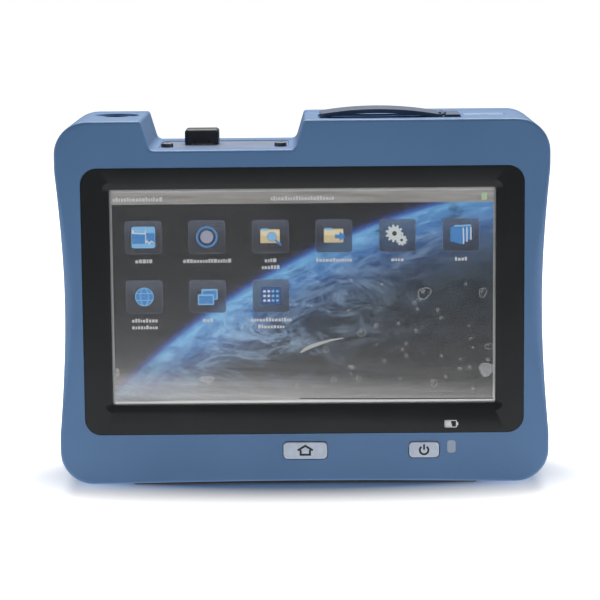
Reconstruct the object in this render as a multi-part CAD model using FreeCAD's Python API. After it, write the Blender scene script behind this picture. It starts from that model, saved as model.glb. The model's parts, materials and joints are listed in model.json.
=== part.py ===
"""Handheld optical time domain reflectometer: a tablet-shaped fibre tester.

The instrument stands upright on two rubber strips. Millimetres, +X to the right of the person who
reads the screen, +Y to the back, +Z up. The origin is under the middle of the body, on the surface
that the rubber strips stand on. A deep front shell and a shallow rear shell close on a rubber seal.
The top edge has a bay between two ears, where the optical port stands with its flip cap. The right ear
holds the data sockets under a rubber flap, and the stylus; the left ear holds the power inlet.
"""
import FreeCAD
import Part
import math
import os

from FreeCAD import Vector

# ---------------------------------------------------------------- driving dimensions
BODY_WIDTH = 199.6          # across the shoulders, at the widest point
BODY_TOP = 151.0            # top of the two ears above the table
BODY_BOTTOM = 2.4           # lower edge of the shells above the table
BOTTOM_ARCH = 0.9           # how far the lower edge rises at its middle
CORNER_RADIUS = 19.0        # the four outer corners, seen from the front
WAIST_DEPTH = 2.6           # how far each flank draws in at half height
FRONT_Y = -33.6             # plane of the front face
REAR_Y = 33.0               # plane of the rear face
PARTING_Y = 16.0            # joint between front shell and rear shell
WALL = 2.6                  # shell wall
FRONT_WALL = 3.2            # wall behind the front face
FRONT_EDGE_RADIUS = 1.2     # rounding round the front face
GRIP_EDGE_RADIUS = 5.5      # the same rounding where the palm holds the flank
REAR_EDGE_RADIUS = 6.0

BAY_CENTRE_X = -32.0        # optical bay between the ears
BAY_FLOOR_Z = 139.2
BAY_FLOOR_WIDTH = 58.6
BAY_TOP_WIDTH = 65.7
BAY_CORNER_RADIUS = 2.6
EAR_CORNER_RADIUS = 1.5

BEZEL_WIDTH = 178.6         # black frame round the screen
BEZEL_HEIGHT = 109.0
BEZEL_CORNER_RADIUS = 6.6
BEZEL_THICKNESS = 1.5
BEZEL_CENTRE_Z = 77.6
BEZEL_SINK = 0.15           # how far the frame lies below the front face
SCREEN_CENTRE_Z = 79.2
SCREEN_WIDTH = 154.1        # lit area of the display
SCREEN_HEIGHT = 85.9
WINDOW_WIDTH = 156.0        # narrow end of the bevelled window
WINDOW_HEIGHT = 88.4
WINDOW_BEVEL = 3.0          # bevel round the window, seen from the front

TOUCH_THICKNESS = 1.4
TOUCH_WIDTH = 164.0
TOUCH_HEIGHT = 97.0
LCD_WIDTH = 164.9
LCD_HEIGHT = 100.0
LCD_THICKNESS = 5.7
BRACKET_THICKNESS = 1.0
FILM_THICKNESS = 0.15
FILM_MARGIN = (0.7, 0.45)   # bare glass left beside the film and above it
FILM_SHIFT = 0.4            # the film was laid a little to the right
FILM_PINK = 1.1             # pitch of the pinked edge of the film

BUTTON_Z = 16.0
BUTTON_PROUD = 0.4
BUTTON_GAP = 0.3
BUTTON_TRAVEL = 0.8
BUTTON_CORNER = 1.8
HOME_X = 0.3
HOME_SIZE = (17.9, 7.1)
POWER_X = 48.8
POWER_SIZE = (12.3, 6.6)
LED_X = 60.0
LED_Z = 17.2
LED_SIZE = (3.4, 5.2)

BOARD_Y = -6.3              # front face of the main board
BOARD_THICKNESS = 1.6

JACK_X = -76.9              # power inlet in the left ear
JACK_Y = 1.5
JACK_HOLE_RADIUS = 5.3
JACK_DISH_RADIUS = 9.5
JACK_DISH_DEPTH = 0.8

PORT_X = -41.5              # optical port in the bay
PORT_Y = 2.0
PLATE_THICKNESS = 1.6
PLATE_FRONT_Y = -22.5
PLATE_REAR_Y = 13.0
PLATE_SINK = 0.2
PLATE_SCREW_PITCH = 46.4
PLATE_SCREW_Y = -14.0

FLAP_LEFT_X = 7.2           # rubber flap over the data sockets
FLAP_RIGHT_X = 56.0
FLAP_FRONT_Y = -24.0
FLAP_REAR_Y = -2.6
FLAP_THICKNESS = 1.8
FLAP_BOW = 2.1              # how far the flap arches above its two ends
FLAP_LEDGE = 0.8            # shallow seat of the flap in the ear

STYLUS_X = 74.5
STYLUS_Y = -8.0
STYLUS_RADIUS = 3.0
STYLUS_LENGTH = 106.0
STYLUS_HEAD = (17.0, 8.0, 1.6)
STYLUS_GAP = 0.3
STYLUS_NIB = 0.9            # radius of the soft point

STAND_WIDTH = 100.4         # folding stand in the back
STAND_TOP_Z = 98.0
STAND_BOTTOM_Z = 15.8
STAND_THICKNESS = 4.6
STAND_POCKET_DEPTH = 5.5
STAND_GAP = 0.8
STAND_PIN_RADIUS = 1.5
STAND_PIN_CLEARANCE = 0.05
STAND_WINDOW = (66.0, 40.0)

BATTERY_SIZE = (82.0, 62.0)
BATTERY_CENTRE_Z = 53.0
BATTERY_FRONT_Y = 4.4
BATTERY_REAR_Y = 24.2
DOOR_SIZE = (96.0, 70.0)
DOOR_THICKNESS = 1.6
DOOR_SINK = 0.3
DOOR_LEDGE = 1.0
DOOR_SCREW_X = 44.8

FOOT_HEIGHT = 2.4           # how far the strips stand below the shells
FIT = 0.15                  # small clearance between pieces that are pushed into a seat

PLATE_WIDTH = 52.4
PLATE_SCREW_RADIUS = 1.1
PLATE_SCREW_XS = (BAY_CENTRE_X - PLATE_SCREW_PITCH / 2, BAY_CENTRE_X + PLATE_SCREW_PITCH / 2)
PORT_BLOCK = (10.4, 9.0)
PORT_FACE_Z = 140.2
PORT_FLANGE_Z = 134.4
INSULATOR_RADIUS = 3.5
SLEEVE_RADIUS = 2.1
SLEEVE_TOP_Z = 143.2
FERRULE_RADIUS = 1.25
CAP_SIZE = (14.0, 13.0)
CAP_BOTTOM_Z = 139.4
CAP_TOP_Z = 145.3
CAP_AXIS = (PORT_Y + 8.5, 141.0)
CAP_BARREL = 6.0
CAP_KNUCKLE_RADIUS = 1.6
CAP_PIN_RADIUS = 0.75

ANCHOR_RIGHT_X = 64.2
KNUCKLE_RADIUS = 1.2
HINGE_X = FLAP_RIGHT_X + 1.3
HINGE_Z = BODY_TOP + 0.3
HINGE_PIN_RADIUS = 0.55
FLAP_KNUCKLE = 8.4

JACK_BORE_RADIUS = 3.2
JACK_BORE_DEPTH = 10.0
JACK_PIN_RADIUS = 1.05
STAKE_RADIUS = 1.5
KEY_FLANGE_Y = FRONT_Y + FRONT_WALL + 0.3
REAR_STRIP_X = 78.0
STAND_PAD_SIZE = (70.0, 6.0)
DOOR_SCREW_RADIUS = 1.1
DOOR_SCREW_HEAD = 2.2
CASE_SCREW_SEAT_Y = 27.0
CASE_SCREW_END_Y = 5.0

STAKE_X = 86.5              # posts that hold the display bracket
STAKE_RISE = 43.2
STAKE_POST_RADIUS = 2.8
KEYPAD_Y = -25.6            # front face of the key board
KEYPAD_CENTRE = (27.0, 16.75)
KEYPAD_SIZE = (78.0, 14.5)
KEYPAD_POSTS = [(22.0, 16.5), (37.0, 16.5)]
KEYPAD_POST_RADIUS = 2.0
FOOT_TOP_Z = 4.0
FOOT_LENGTH = 144.0
FRONT_FOOT_Y = (-24.0, -14.0)
REAR_FOOT_Y = (19.0, 27.5)
SEAL_INSETS = (0.9, 1.7)
SEAL_DEPTH = 0.8
SEAM_REVEAL = 0.35

SOCKET_HOLE = (44.0, 16.6)  # opening in the ear over the sockets
SOCKET_CENTRE = (32.0, -13.3)
SOCKET_PANEL = (50.0, 21.0)
SOCKET_PANEL_THICKNESS = 3.0
NETWORK_X = 20.0
NETWORK_SIZE = (16.0, 13.6)
NETWORK_MOUTH = (11.9, 7.2)
USB_X = 41.4
USB_PITCH = 8.0
USB_SIZE = (14.4, 6.6)
USB_MOUTH = (12.5, 5.12)
SOCKET_HEIGHT = 18.0
MAIN_BOARD_CENTRE = (-7.0, 77.0)
MAIN_BOARD_SIZE = (146.0, 98.0)
MODULE_CENTRE = (-37.0, 111.0)
MODULE_SIZE = (62.0, 38.0)
MODULE_Y = (-3.6, 13.2)
SPEAKER = (72.0, 118.0, 13.0)
STRIP_SIZE = (8.8, 75.8)
STRIP_Z = 62.0
STAND_PIN_LENGTH = 15.0
STAND_PIN_GRIP = 6.8        # how far each pin stands in the shell
STAND_PAD_RISE = 6.0

BOSS_RADIUS = 4.0
BOSS_INSET = 11.8           # case screws, in from the flanks
BOSS_DROP = 14.0            # and in from the upper and lower edges
SCREW_RADIUS = 1.5
SCREW_HEAD_RADIUS = 2.8
SCREW_HEAD_HEIGHT = 1.9

# ---------------------------------------------------------------- sizes worked out from them
BEZEL_FACE_Y = FRONT_Y + BEZEL_SINK
BEZEL_BACK_Y = BEZEL_FACE_Y + BEZEL_THICKNESS
TOUCH_BACK_Y = BEZEL_BACK_Y + TOUCH_THICKNESS
LCD_FRONT_Y = TOUCH_BACK_Y + FIT
LCD_BACK_Y = LCD_FRONT_Y + LCD_THICKNESS
BRACKET_BACK_Y = LCD_BACK_Y + BRACKET_THICKNESS
BOARD_BACK_Y = BOARD_Y + BOARD_THICKNESS
INNER_FRONT_Y = FRONT_Y + FRONT_WALL
PLATE_TOP_Z = BAY_FLOOR_Z - PLATE_SINK
PLATE_BOTTOM_Z = PLATE_TOP_Z - PLATE_THICKNESS
POCKET_FLOOR_Y = REAR_Y - STAND_POCKET_DEPTH
DOOR_OUTER_Y = POCKET_FLOOR_Y - DOOR_SINK
DOOR_INNER_Y = DOOR_OUTER_Y - DOOR_THICKNESS
LEDGE_Y = DOOR_INNER_Y - DOOR_LEDGE
STAND_AXIS_Y = POCKET_FLOOR_Y + 0.4 + STAND_THICKNESS / 2
STAND_AXIS_Z = STAND_TOP_Z - STAND_THICKNESS / 2
STAND_CENTRE_Z = (STAND_TOP_Z + STAND_BOTTOM_Z) / 2
STAND_HEIGHT = STAND_TOP_Z - STAND_BOTTOM_Z
FILM_WIDTH = WINDOW_WIDTH - 2 * FILM_MARGIN[0]
FILM_HEIGHT = WINDOW_HEIGHT - 2 * FILM_MARGIN[1]
PANEL_TOP_Z = BODY_TOP - WALL
SEAT_Z = BODY_TOP - FLAP_LEDGE
FLAP_CENTRE_Y = (FLAP_FRONT_Y + FLAP_REAR_Y) / 2
FLAP_DEPTH = FLAP_REAR_Y - FLAP_FRONT_Y
BAY_PLATE_CENTRE = (BAY_CENTRE_X, (PLATE_FRONT_Y + PLATE_REAR_Y) / 2)
BAY_PLATE_SIZE = (PLATE_WIDTH, PLATE_REAR_Y - PLATE_FRONT_Y)
JACK_FACE_Z = BODY_TOP - JACK_DISH_DEPTH - WALL
STYLUS_PAD_Z = PANEL_TOP_Z - 1.8
CASE_BOSSES = {side + "_" + end: (sx * (BODY_WIDTH / 2 - BOSS_INSET), z)
               for side, z in (("upper", BODY_TOP - BOSS_DROP), ("lower", BODY_BOTTOM + BOSS_DROP))
               for end, sx in (("left", -1), ("right", 1))}


STAKE_POSTS = [(sx * STAKE_X, SCREEN_CENTRE_Z + sz * STAKE_RISE) for sx in (-1, 1) for sz in (-1, 1)]
BOARD_STUDS = [(MAIN_BOARD_CENTRE[0] + sx * (MAIN_BOARD_SIZE[0] / 2 - 8.0), MAIN_BOARD_CENTRE[1] + sz
                * (MAIN_BOARD_SIZE[1] / 2 - 9.0)) for sx in (-1, 1) for sz in (-1, 1)]
USB_YS = (SOCKET_CENTRE[1] - USB_PITCH / 2, SOCKET_CENTRE[1] + USB_PITCH / 2)
SOCKET_BOTTOM_Z = PANEL_TOP_Z - SOCKET_HEIGHT


# ---------------------------------------------------------------- drawing helpers
def arc(first, middle, last):
    return Part.Arc(first, middle, last).toShape()


def rounded_rectangle(centre, size, radius, place):
    """Closed wire of a rounded rectangle; place turns two plane coordinates into a point."""
    (cu, cv), (w, h) = centre, size
    r = min(radius, 0.499 * w, 0.499 * h)
    edges = []
    corners = [(1, 1, 0), (-1, 1, 90), (-1, -1, 180), (1, -1, 270)]
    ends = []
    for su, sv, start in corners:
        mu, mv = cu + su * (w / 2 - r), cv + sv * (h / 2 - r)
        pts = [place(mu + r * math.cos(math.radians(start + a)), mv + r * math.sin(math.radians(start + a)))
               for a in (0, 45, 90)]
        ends.append(pts)
    for i, pts in enumerate(ends):
        edges.append(arc(*pts))
        edges.append(Part.LineSegment(pts[2], ends[(i + 1) % 4][0]).toShape())
    return Part.Wire(edges)


def plate_y(centre, size, radius, y0, y1):
    """Rounded rectangle in X and Z, thick from y0 to y1."""
    wire = rounded_rectangle(centre, size, radius, lambda u, v: Vector(u, y0, v))
    return Part.Face(wire).extrude(Vector(0, y1 - y0, 0))


def plate_z(centre, size, radius, z0, z1):
    """Rounded rectangle in X and Y, thick from z0 to z1."""
    wire = rounded_rectangle(centre, size, radius, lambda u, v: Vector(u, v, z0))
    return Part.Face(wire).extrude(Vector(0, 0, z1 - z0))


def block(x0, x1, y0, y1, z0, z1):
    return Part.makeBox(x1 - x0, y1 - y0, z1 - z0, Vector(x0, y0, z0))


def rod(x, y, z0, z1, radius):
    return Part.makeCylinder(radius, z1 - z0, Vector(x, y, z0), Vector(0, 0, 1))


def rod_y(x, z, y0, y1, radius):
    return Part.makeCylinder(radius, y1 - y0, Vector(x, y0, z), Vector(0, 1, 0))


def rod_x(y, z, x0, x1, radius):
    return Part.makeCylinder(radius, x1 - x0, Vector(x0, y, z), Vector(1, 0, 0))


def prism(points, along):
    """Solid on a flat polygon, swept along a vector."""
    return Part.Face(Part.makePolygon(points + points[:1])).extrude(along)


def joined(shapes):
    first, rest = shapes[0], shapes[1:]
    return first.fuse(rest).removeSplitter() if rest else first


def polar(shape, x, z, angles):
    """Copies of a shape turned about a Y-wise axis through (x, z)."""
    copies = []
    for angle in angles:
        copy = shape.copy()
        copy.rotate(Vector(x, 0, z), Vector(0, 1, 0), angle)
        copies.append(copy)
    return copies


# ---------------------------------------------------------------- outer form
def hollow_arc_radius(half_span, radius, depth):
    """Radius of the arc that dips by depth between two corner circles and is tangent to both."""
    reach = radius - depth
    return (half_span ** 2 + reach ** 2 - radius ** 2) / (2 * depth)


def body_outline(inset, y):
    """The front-view outline, drawn in by inset: four corner arcs, waisted flanks, an arched bottom."""
    r = CORNER_RADIUS
    cx = BODY_WIDTH / 2 - r
    cz_top, cz_low = BODY_TOP - r, BODY_BOTTOM + r
    mid_z = (cz_top + cz_low) / 2
    flank_r = hollow_arc_radius((cz_top - cz_low) / 2, r, WAIST_DEPTH)
    flank_x = cx + r - WAIST_DEPTH + flank_r
    arch_r = hollow_arc_radius(cx, r, BOTTOM_ARCH)
    arch_z = BODY_BOTTOM + BOTTOM_ARCH - arch_r

    def touch(corner, centre):
        """Point where a corner circle meets the hollow arc of that centre."""
        d = Vector(centre[0] - corner[0], 0, centre[1] - corner[1]).normalize() * (r - inset)
        return Vector(corner[0] + d.x, y, corner[1] + d.z)

    def corner_middle(corner, first, last):
        """Point half way round a corner arc."""
        d = (first - Vector(corner[0], y, corner[1])) + (last - Vector(corner[0], y, corner[1]))
        d = d.normalize() * (r - inset)
        return Vector(corner[0] + d.x, y, corner[1] + d.z)

    def mirrored(p):
        return Vector(-p.x, y, p.z)

    top, low, flank, arch = (cx, cz_top), (cx, cz_low), (flank_x, mid_z), (0.0, arch_z)
    top_start = Vector(cx, y, BODY_TOP - inset)
    flank_top, flank_low = touch(top, flank), touch(low, flank)
    low_end = touch(low, arch)
    waist = Vector(flank_x - flank_r - inset, y, mid_z)
    top_middle = corner_middle(top, top_start, flank_top)
    low_middle = corner_middle(low, flank_low, low_end)
    arch_middle = Vector(0, y, arch_z + arch_r + inset)
    upper_waist = Vector(flank_x - (flank_r + inset) * math.cos(math.asin((flank_top.z - mid_z) / 2
                         / (flank_r + inset))), y, mid_z + (flank_top.z - mid_z) / 2)
    lower_waist = Vector(upper_waist.x, y, 2 * mid_z - upper_waist.z)
    right = [arc(top_start, top_middle, flank_top), arc(flank_top, upper_waist, waist),
             arc(waist, lower_waist, flank_low), arc(flank_low, low_middle, low_end)]
    left = [arc(mirrored(low_end), mirrored(low_middle), mirrored(flank_low)),
            arc(mirrored(flank_low), mirrored(lower_waist), mirrored(waist)),
            arc(mirrored(waist), mirrored(upper_waist), mirrored(flank_top)),
            arc(mirrored(flank_top), mirrored(top_middle), mirrored(top_start))]
    bottom = arc(low_end, arch_middle, mirrored(low_end))
    top_edge = Part.LineSegment(mirrored(top_start), top_start).toShape()
    return Part.Wire(right + [bottom] + left + [top_edge])


def bay_prism(grow, y0, y1):
    """The tapered notch between the ears, grown by a wall on its floor and flanks."""
    half_floor, half_top = BAY_FLOOR_WIDTH / 2, BAY_TOP_WIDTH / 2
    rise = BODY_TOP - BAY_FLOOR_Z
    slope = (half_top - half_floor) / rise
    side = grow * math.sqrt(1 + slope ** 2)
    low, high = BAY_FLOOR_Z - grow, BODY_TOP + 8.0
    half_low = half_floor + side - slope * grow
    half_high = half_floor + side + slope * (high - BAY_FLOOR_Z)
    points = [(-half_high, high), (-half_low, low), (half_low, low), (half_high, high)]
    solid = prism([Vector(BAY_CENTRE_X + x, y0, z) for x, z in points], Vector(0, y1 - y0, 0))
    radius = BAY_CORNER_RADIUS + grow
    corners = [e for e in solid.Edges if runs_along_y(e) and abs(e.CenterOfMass.z - low) < 0.01]
    return solid.makeFillet(radius, corners)


def runs_along_y(edge):
    if len(edge.Vertexes) != 2:
        return False
    a, b = edge.Vertexes[0].Point, edge.Vertexes[1].Point
    return abs(a.x - b.x) < 0.01 and abs(a.z - b.z) < 0.01 and abs(a.y - b.y) > 0.01


def lies_in_y(edge, y):
    return abs(edge.BoundBox.YMin - y) < 0.01 and abs(edge.BoundBox.YMax - y) < 0.01


def body_prism(inset, y0, y1):
    """The body's outline with its bay, drawn in by inset, thick from y0 to y1."""
    solid = Part.Face(body_outline(inset, y0)).extrude(Vector(0, y1 - y0, 0))
    return solid.cut(bay_prism(inset, y0 - 1, y1 + 1))


def graded_fillet(shape, radii):
    """Rolls a fillet whose radius changes along each edge; radii lists (edge number, first, last)."""
    document = FreeCAD.newDocument("fillet")
    base = document.addObject("Part::Feature", "base")
    base.Shape = shape
    fillet = document.addObject("Part::Fillet", "fillet")
    fillet.Base = base
    fillet.Edges = radii
    document.recompute()
    result = fillet.Shape.copy()
    FreeCAD.closeDocument(document.Name)
    return result


def outer_form():
    """The whole closed body: the bay, soft rear edges, and front edges that swell where it is gripped."""
    solid = body_prism(0, FRONT_Y, REAR_Y)
    ear_edges = [e for e in solid.Edges if runs_along_y(e) and abs(e.CenterOfMass.z - BODY_TOP) < 0.01
                 and abs(abs(e.CenterOfMass.x - BAY_CENTRE_X) - BAY_TOP_WIDTH / 2) < 1.0]
    solid = solid.makeFillet(EAR_CORNER_RADIUS, ear_edges)
    waist_z = (BODY_TOP + BODY_BOTTOM) / 2
    radii = []
    for number, edge in enumerate(solid.Edges, 1):
        if lies_in_y(edge, REAR_Y):
            radii.append((number, REAR_EDGE_RADIUS, REAR_EDGE_RADIUS))
        elif lies_in_y(edge, FRONT_Y):
            ends = [edge.valueAt(edge.FirstParameter), edge.valueAt(edge.LastParameter)]
            size = [GRIP_EDGE_RADIUS if abs(p.z - waist_z) < 1 and abs(p.x) > BODY_WIDTH / 4
                    else FRONT_EDGE_RADIUS for p in ends]
            radii.append((number, size[0], size[1]))
    return graded_fillet(solid, radii)


# ---------------------------------------------------------------- front shell
def display_openings():
    """Seat of the black frame and the window for the touch glass behind it."""
    seat = plate_y((0, BEZEL_CENTRE_Z), (BEZEL_WIDTH + 2 * FIT, BEZEL_HEIGHT + 2 * FIT),
                   BEZEL_CORNER_RADIUS + FIT, FRONT_Y - 1, BEZEL_BACK_Y)
    window = plate_y((0, SCREEN_CENTRE_Z), (TOUCH_WIDTH + 2 * FIT, TOUCH_HEIGHT + 2 * FIT), 2.0,
                     FRONT_Y - 1, INNER_FRONT_Y + 1)
    return [seat, window]


def front_key_openings():
    holes = [plate_y((x, BUTTON_Z), (w + 2 * BUTTON_GAP, h + 2 * BUTTON_GAP), BUTTON_CORNER + BUTTON_GAP,
                     FRONT_Y - 1, INNER_FRONT_Y + 1) for x, (w, h) in ((HOME_X, HOME_SIZE), (POWER_X, POWER_SIZE))]
    light = plate_y((LED_X, LED_Z), LED_SIZE, 1.2, FRONT_Y - 1, INNER_FRONT_Y + 1)
    return holes + [light]


def top_openings():
    """Everything cut into the two ears: inlet dish, flap seat, socket opening, stylus seat."""
    dish = rod(JACK_X, JACK_Y, BODY_TOP - JACK_DISH_DEPTH, BODY_TOP + 1, JACK_DISH_RADIUS)
    inlet = rod(JACK_X, JACK_Y, JACK_FACE_Z - 1, BODY_TOP, JACK_HOLE_RADIUS)
    seat = plate_z(((FLAP_LEFT_X + ANCHOR_RIGHT_X) / 2, FLAP_CENTRE_Y),
                   (ANCHOR_RIGHT_X - FLAP_LEFT_X + 1.0, FLAP_DEPTH + 1.0), 1.5, SEAT_Z, BODY_TOP + 1)
    trough = rod_y(HINGE_X, HINGE_Z, FLAP_FRONT_Y - 0.5, FLAP_REAR_Y + 0.5, KNUCKLE_RADIUS + 0.4)
    sockets = plate_z(SOCKET_CENTRE, SOCKET_HOLE, 2.0, PANEL_TOP_Z - 1, BODY_TOP)
    head_w, head_d, head_h = STYLUS_HEAD
    stylus_seat = plate_z((STYLUS_X, STYLUS_Y), (head_w + 2 * STYLUS_GAP, head_d + 2 * STYLUS_GAP), 3.0,
                          BODY_TOP - head_h - STYLUS_GAP, BODY_TOP + 1)
    stylus_hole = rod(STYLUS_X, STYLUS_Y, BODY_TOP - 8, BODY_TOP, STYLUS_RADIUS + STYLUS_GAP)
    nail_notch = rod(STYLUS_X, STYLUS_Y - head_d / 2 - 0.8, BODY_TOP - 1.2, BODY_TOP + 1, 1.5)
    return [dish, inlet, seat, trough, sockets, stylus_seat, stylus_hole, nail_notch]


def bay_openings():
    """Seat of the port plate in the bay floor, the way through for the port, and the screw holes."""
    seat = plate_z(BAY_PLATE_CENTRE, [side + 2 * FIT for side in BAY_PLATE_SIZE], 3.0 + FIT,
                   PLATE_BOTTOM_Z, BAY_FLOOR_Z + 1)
    way = plate_z((PORT_X, PORT_Y), (17.6, 15.6), 1.0, 130, BAY_FLOOR_Z)
    screws = [rod(x, PLATE_SCREW_Y, PLATE_BOTTOM_Z - 8.4, BAY_FLOOR_Z, PLATE_SCREW_RADIUS) for x in PLATE_SCREW_XS]
    return [seat, way] + screws


def front_bosses():
    """Posts and pads inside the front shell."""
    start = INNER_FRONT_Y - 0.5
    posts = [rod_y(x, z, start, PARTING_Y, BOSS_RADIUS) for x, z in CASE_BOSSES.values()]
    for x, z in STAKE_POSTS:
        posts.append(rod_y(x, z, start, LCD_BACK_Y, STAKE_POST_RADIUS))
        posts.append(rod_y(x, z, LCD_BACK_Y, BRACKET_BACK_Y + 0.7, STAKE_RADIUS))
    posts += [rod_y(x, z, start, KEYPAD_Y, KEYPAD_POST_RADIUS) for x, z in KEYPAD_POSTS]
    posts += [rod(x, PLATE_SCREW_Y, PLATE_BOTTOM_Z - 9, PLATE_BOTTOM_Z, 3.0) for x in PLATE_SCREW_XS]
    half = BAY_FLOOR_WIDTH / 2 - 2.0
    floor_pad = block(BAY_CENTRE_X - half, BAY_CENTRE_X + half, PLATE_FRONT_Y - 3.5, PARTING_Y,
                      PLATE_BOTTOM_Z - 3.0, BAY_FLOOR_Z - 1.0)
    stylus_pad = plate_z((STYLUS_X, STYLUS_Y), (STYLUS_HEAD[0] + 3.0, STYLUS_HEAD[1] + 6.0), 2.0,
                         STYLUS_PAD_Z, PANEL_TOP_Z + 0.5)
    jack_pad = rod(JACK_X, JACK_Y, JACK_FACE_Z, BODY_TOP - 1.0, JACK_DISH_RADIUS)
    return posts + [floor_pad, stylus_pad, jack_pad]


def seal_groove():
    outer, inner = SEAL_INSETS
    ring = body_prism(outer, PARTING_Y - SEAL_DEPTH, PARTING_Y)
    return ring.cut(body_prism(inner, PARTING_Y - SEAL_DEPTH - 1, PARTING_Y + 1))


def seam_reveal(y0, y1):
    """Shallow groove round the outside at the joint of the shells."""
    ring = body_prism(-2.0, y0, y1)
    return ring.cut(body_prism(SEAM_REVEAL, y0 - 1, y1 + 1))


def foot_seat(span):
    return plate_z((0, sum(span) / 2), (FOOT_LENGTH, span[1] - span[0]), 3.0, -1, FOOT_TOP_Z)


def front_shell(form):
    half = block(-120, 120, FRONT_Y - 1, PARTING_Y, -5, 170)
    shell = form.common(half).cut(body_prism(WALL, INNER_FRONT_Y, PARTING_Y + 1))
    inside = form.common(half)
    shell = joined([shell] + [boss.common(inside) for boss in front_bosses()])
    cuts = display_openings() + front_key_openings() + top_openings() + bay_openings()
    cuts += [rod_y(x, z, CASE_SCREW_END_Y, PARTING_Y + 1, SCREW_RADIUS) for x, z in CASE_BOSSES.values()]
    cuts += [seal_groove(), seam_reveal(PARTING_Y - SEAM_REVEAL, PARTING_Y + 0.5), foot_seat(FRONT_FOOT_Y)]
    return shell.cut(cuts).removeSplitter()


# ---------------------------------------------------------------- rear shell
def stand_pocket():
    size = (STAND_WIDTH + 2 * STAND_GAP, STAND_HEIGHT + 2 * STAND_GAP)
    pocket = plate_y((0, STAND_CENTRE_Z), size, 5.0, POCKET_FLOOR_Y, REAR_Y + 1)
    hinge_end = plate_y((0, STAND_TOP_Z + STAND_GAP - 10.0), (size[0], 20.0), 1.0, POCKET_FLOOR_Y, REAR_Y + 1)
    finger = plate_y((0, STAND_BOTTOM_Z), (28.0, 14.0), 6.0, REAR_Y - 4.0, REAR_Y + 1)
    reach = STAND_WIDTH / 2 + STAND_PIN_GRIP
    pins = rod_x(STAND_AXIS_Y, STAND_AXIS_Z, -reach, reach, STAND_PIN_RADIUS)
    return [pocket, hinge_end, finger, pins]


def battery_bay():
    """Walls and floor of the battery box, which reaches forward past the joint of the shells."""
    w, h = BATTERY_SIZE
    outer = plate_y((0, BATTERY_CENTRE_Z), (w + 4.4, h + 4.4), 2.2, BATTERY_FRONT_Y - 1.8, LEDGE_Y + 0.2)
    screws = [rod_y(sign * DOOR_SCREW_X, BATTERY_CENTRE_Z, LEDGE_Y - 7, LEDGE_Y + 0.2, 3.0) for sign in (-1, 1)]
    return [outer] + screws


def battery_openings():
    w, h = BATTERY_SIZE
    inner = plate_y((0, BATTERY_CENTRE_Z), (w + 2 * FIT, h + 2 * FIT), 1.0, BATTERY_FRONT_Y - FIT, REAR_Y)
    seat = plate_y((0, BATTERY_CENTRE_Z), (DOOR_SIZE[0] + 2 * FIT, DOOR_SIZE[1] + 2 * FIT), 3.0,
                   DOOR_INNER_Y, REAR_Y)
    screws = [rod_y(sign * DOOR_SCREW_X, BATTERY_CENTRE_Z, LEDGE_Y - 5, REAR_Y, DOOR_SCREW_RADIUS)
              for sign in (-1, 1)]
    return [inner, seat] + screws


def speaker_slots():
    x, z, radius = SPEAKER
    return [plate_y((x, z + 3.2 * i), (radius + 3.0 - abs(i) * 2.0, 1.3), 0.6, REAR_Y - 4, REAR_Y + 1)
            for i in range(-3, 4)]


def rear_strip_seat(sign):
    return plate_y((sign * REAR_STRIP_X, STRIP_Z), [side + 0.2 for side in STRIP_SIZE], 4.0, REAR_Y - 0.8,
                   REAR_Y + 1)


def rear_shell(form):
    half = block(-120, 120, PARTING_Y, REAR_Y + 1, -5, 170)
    solid = form.common(half)
    shell = solid.cut(body_prism(WALL, PARTING_Y - 1, REAR_Y - WALL))
    bosses = [rod_y(x, z, PARTING_Y, REAR_Y - 1, BOSS_RADIUS + 0.6).common(solid) for x, z in CASE_BOSSES.values()]
    pad = plate_y((0, STAND_CENTRE_Z - 3.0), (STAND_WIDTH + 2 * STAND_PIN_GRIP + 4.0, STAND_HEIGHT + 15.0), 6.0,
                  LEDGE_Y, REAR_Y - 1).common(solid)
    shell = joined([shell, pad] + bosses + battery_bay())
    cuts = stand_pocket() + battery_openings() + speaker_slots()
    cuts += [rear_strip_seat(-1), rear_strip_seat(1), foot_seat(REAR_FOOT_Y)]
    cuts += [seam_reveal(PARTING_Y - 0.5, PARTING_Y + SEAM_REVEAL)]
    for x, z in CASE_BOSSES.values():
        cuts.append(rod_y(x, z, PARTING_Y - 1, REAR_Y, SCREW_RADIUS))
        cuts.append(rod_y(x, z, CASE_SCREW_SEAT_Y, REAR_Y + 1, SCREW_HEAD_RADIUS + 0.3))
    return shell.cut(cuts).removeSplitter()


# ---------------------------------------------------------------- display stack
def bezel():
    """Black frame with a bevelled window."""
    frame = plate_y((0, BEZEL_CENTRE_Z), (BEZEL_WIDTH, BEZEL_HEIGHT), BEZEL_CORNER_RADIUS, BEZEL_FACE_Y, BEZEL_BACK_Y)
    lip = 0.4
    wide = rounded_rectangle((0, SCREEN_CENTRE_Z), (WINDOW_WIDTH + 2 * WINDOW_BEVEL, WINDOW_HEIGHT + 2 * WINDOW_BEVEL),
                             3.4, lambda u, v: Vector(u, BEZEL_FACE_Y, v))
    narrow = rounded_rectangle((0, SCREEN_CENTRE_Z), (WINDOW_WIDTH, WINDOW_HEIGHT), 0.8,
                               lambda u, v: Vector(u, BEZEL_BACK_Y - lip, v))
    funnel = Part.makeLoft([wide, narrow], True, True)
    through = plate_y((0, SCREEN_CENTRE_Z), (WINDOW_WIDTH, WINDOW_HEIGHT), 0.8, BEZEL_BACK_Y - lip - 0.1,
                      BEZEL_BACK_Y + 1)
    return frame.cut([funnel, through])


def touch_panel():
    return plate_y((0, SCREEN_CENTRE_Z), (TOUCH_WIDTH, TOUCH_HEIGHT), 1.5, BEZEL_BACK_Y, TOUCH_BACK_Y)


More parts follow.
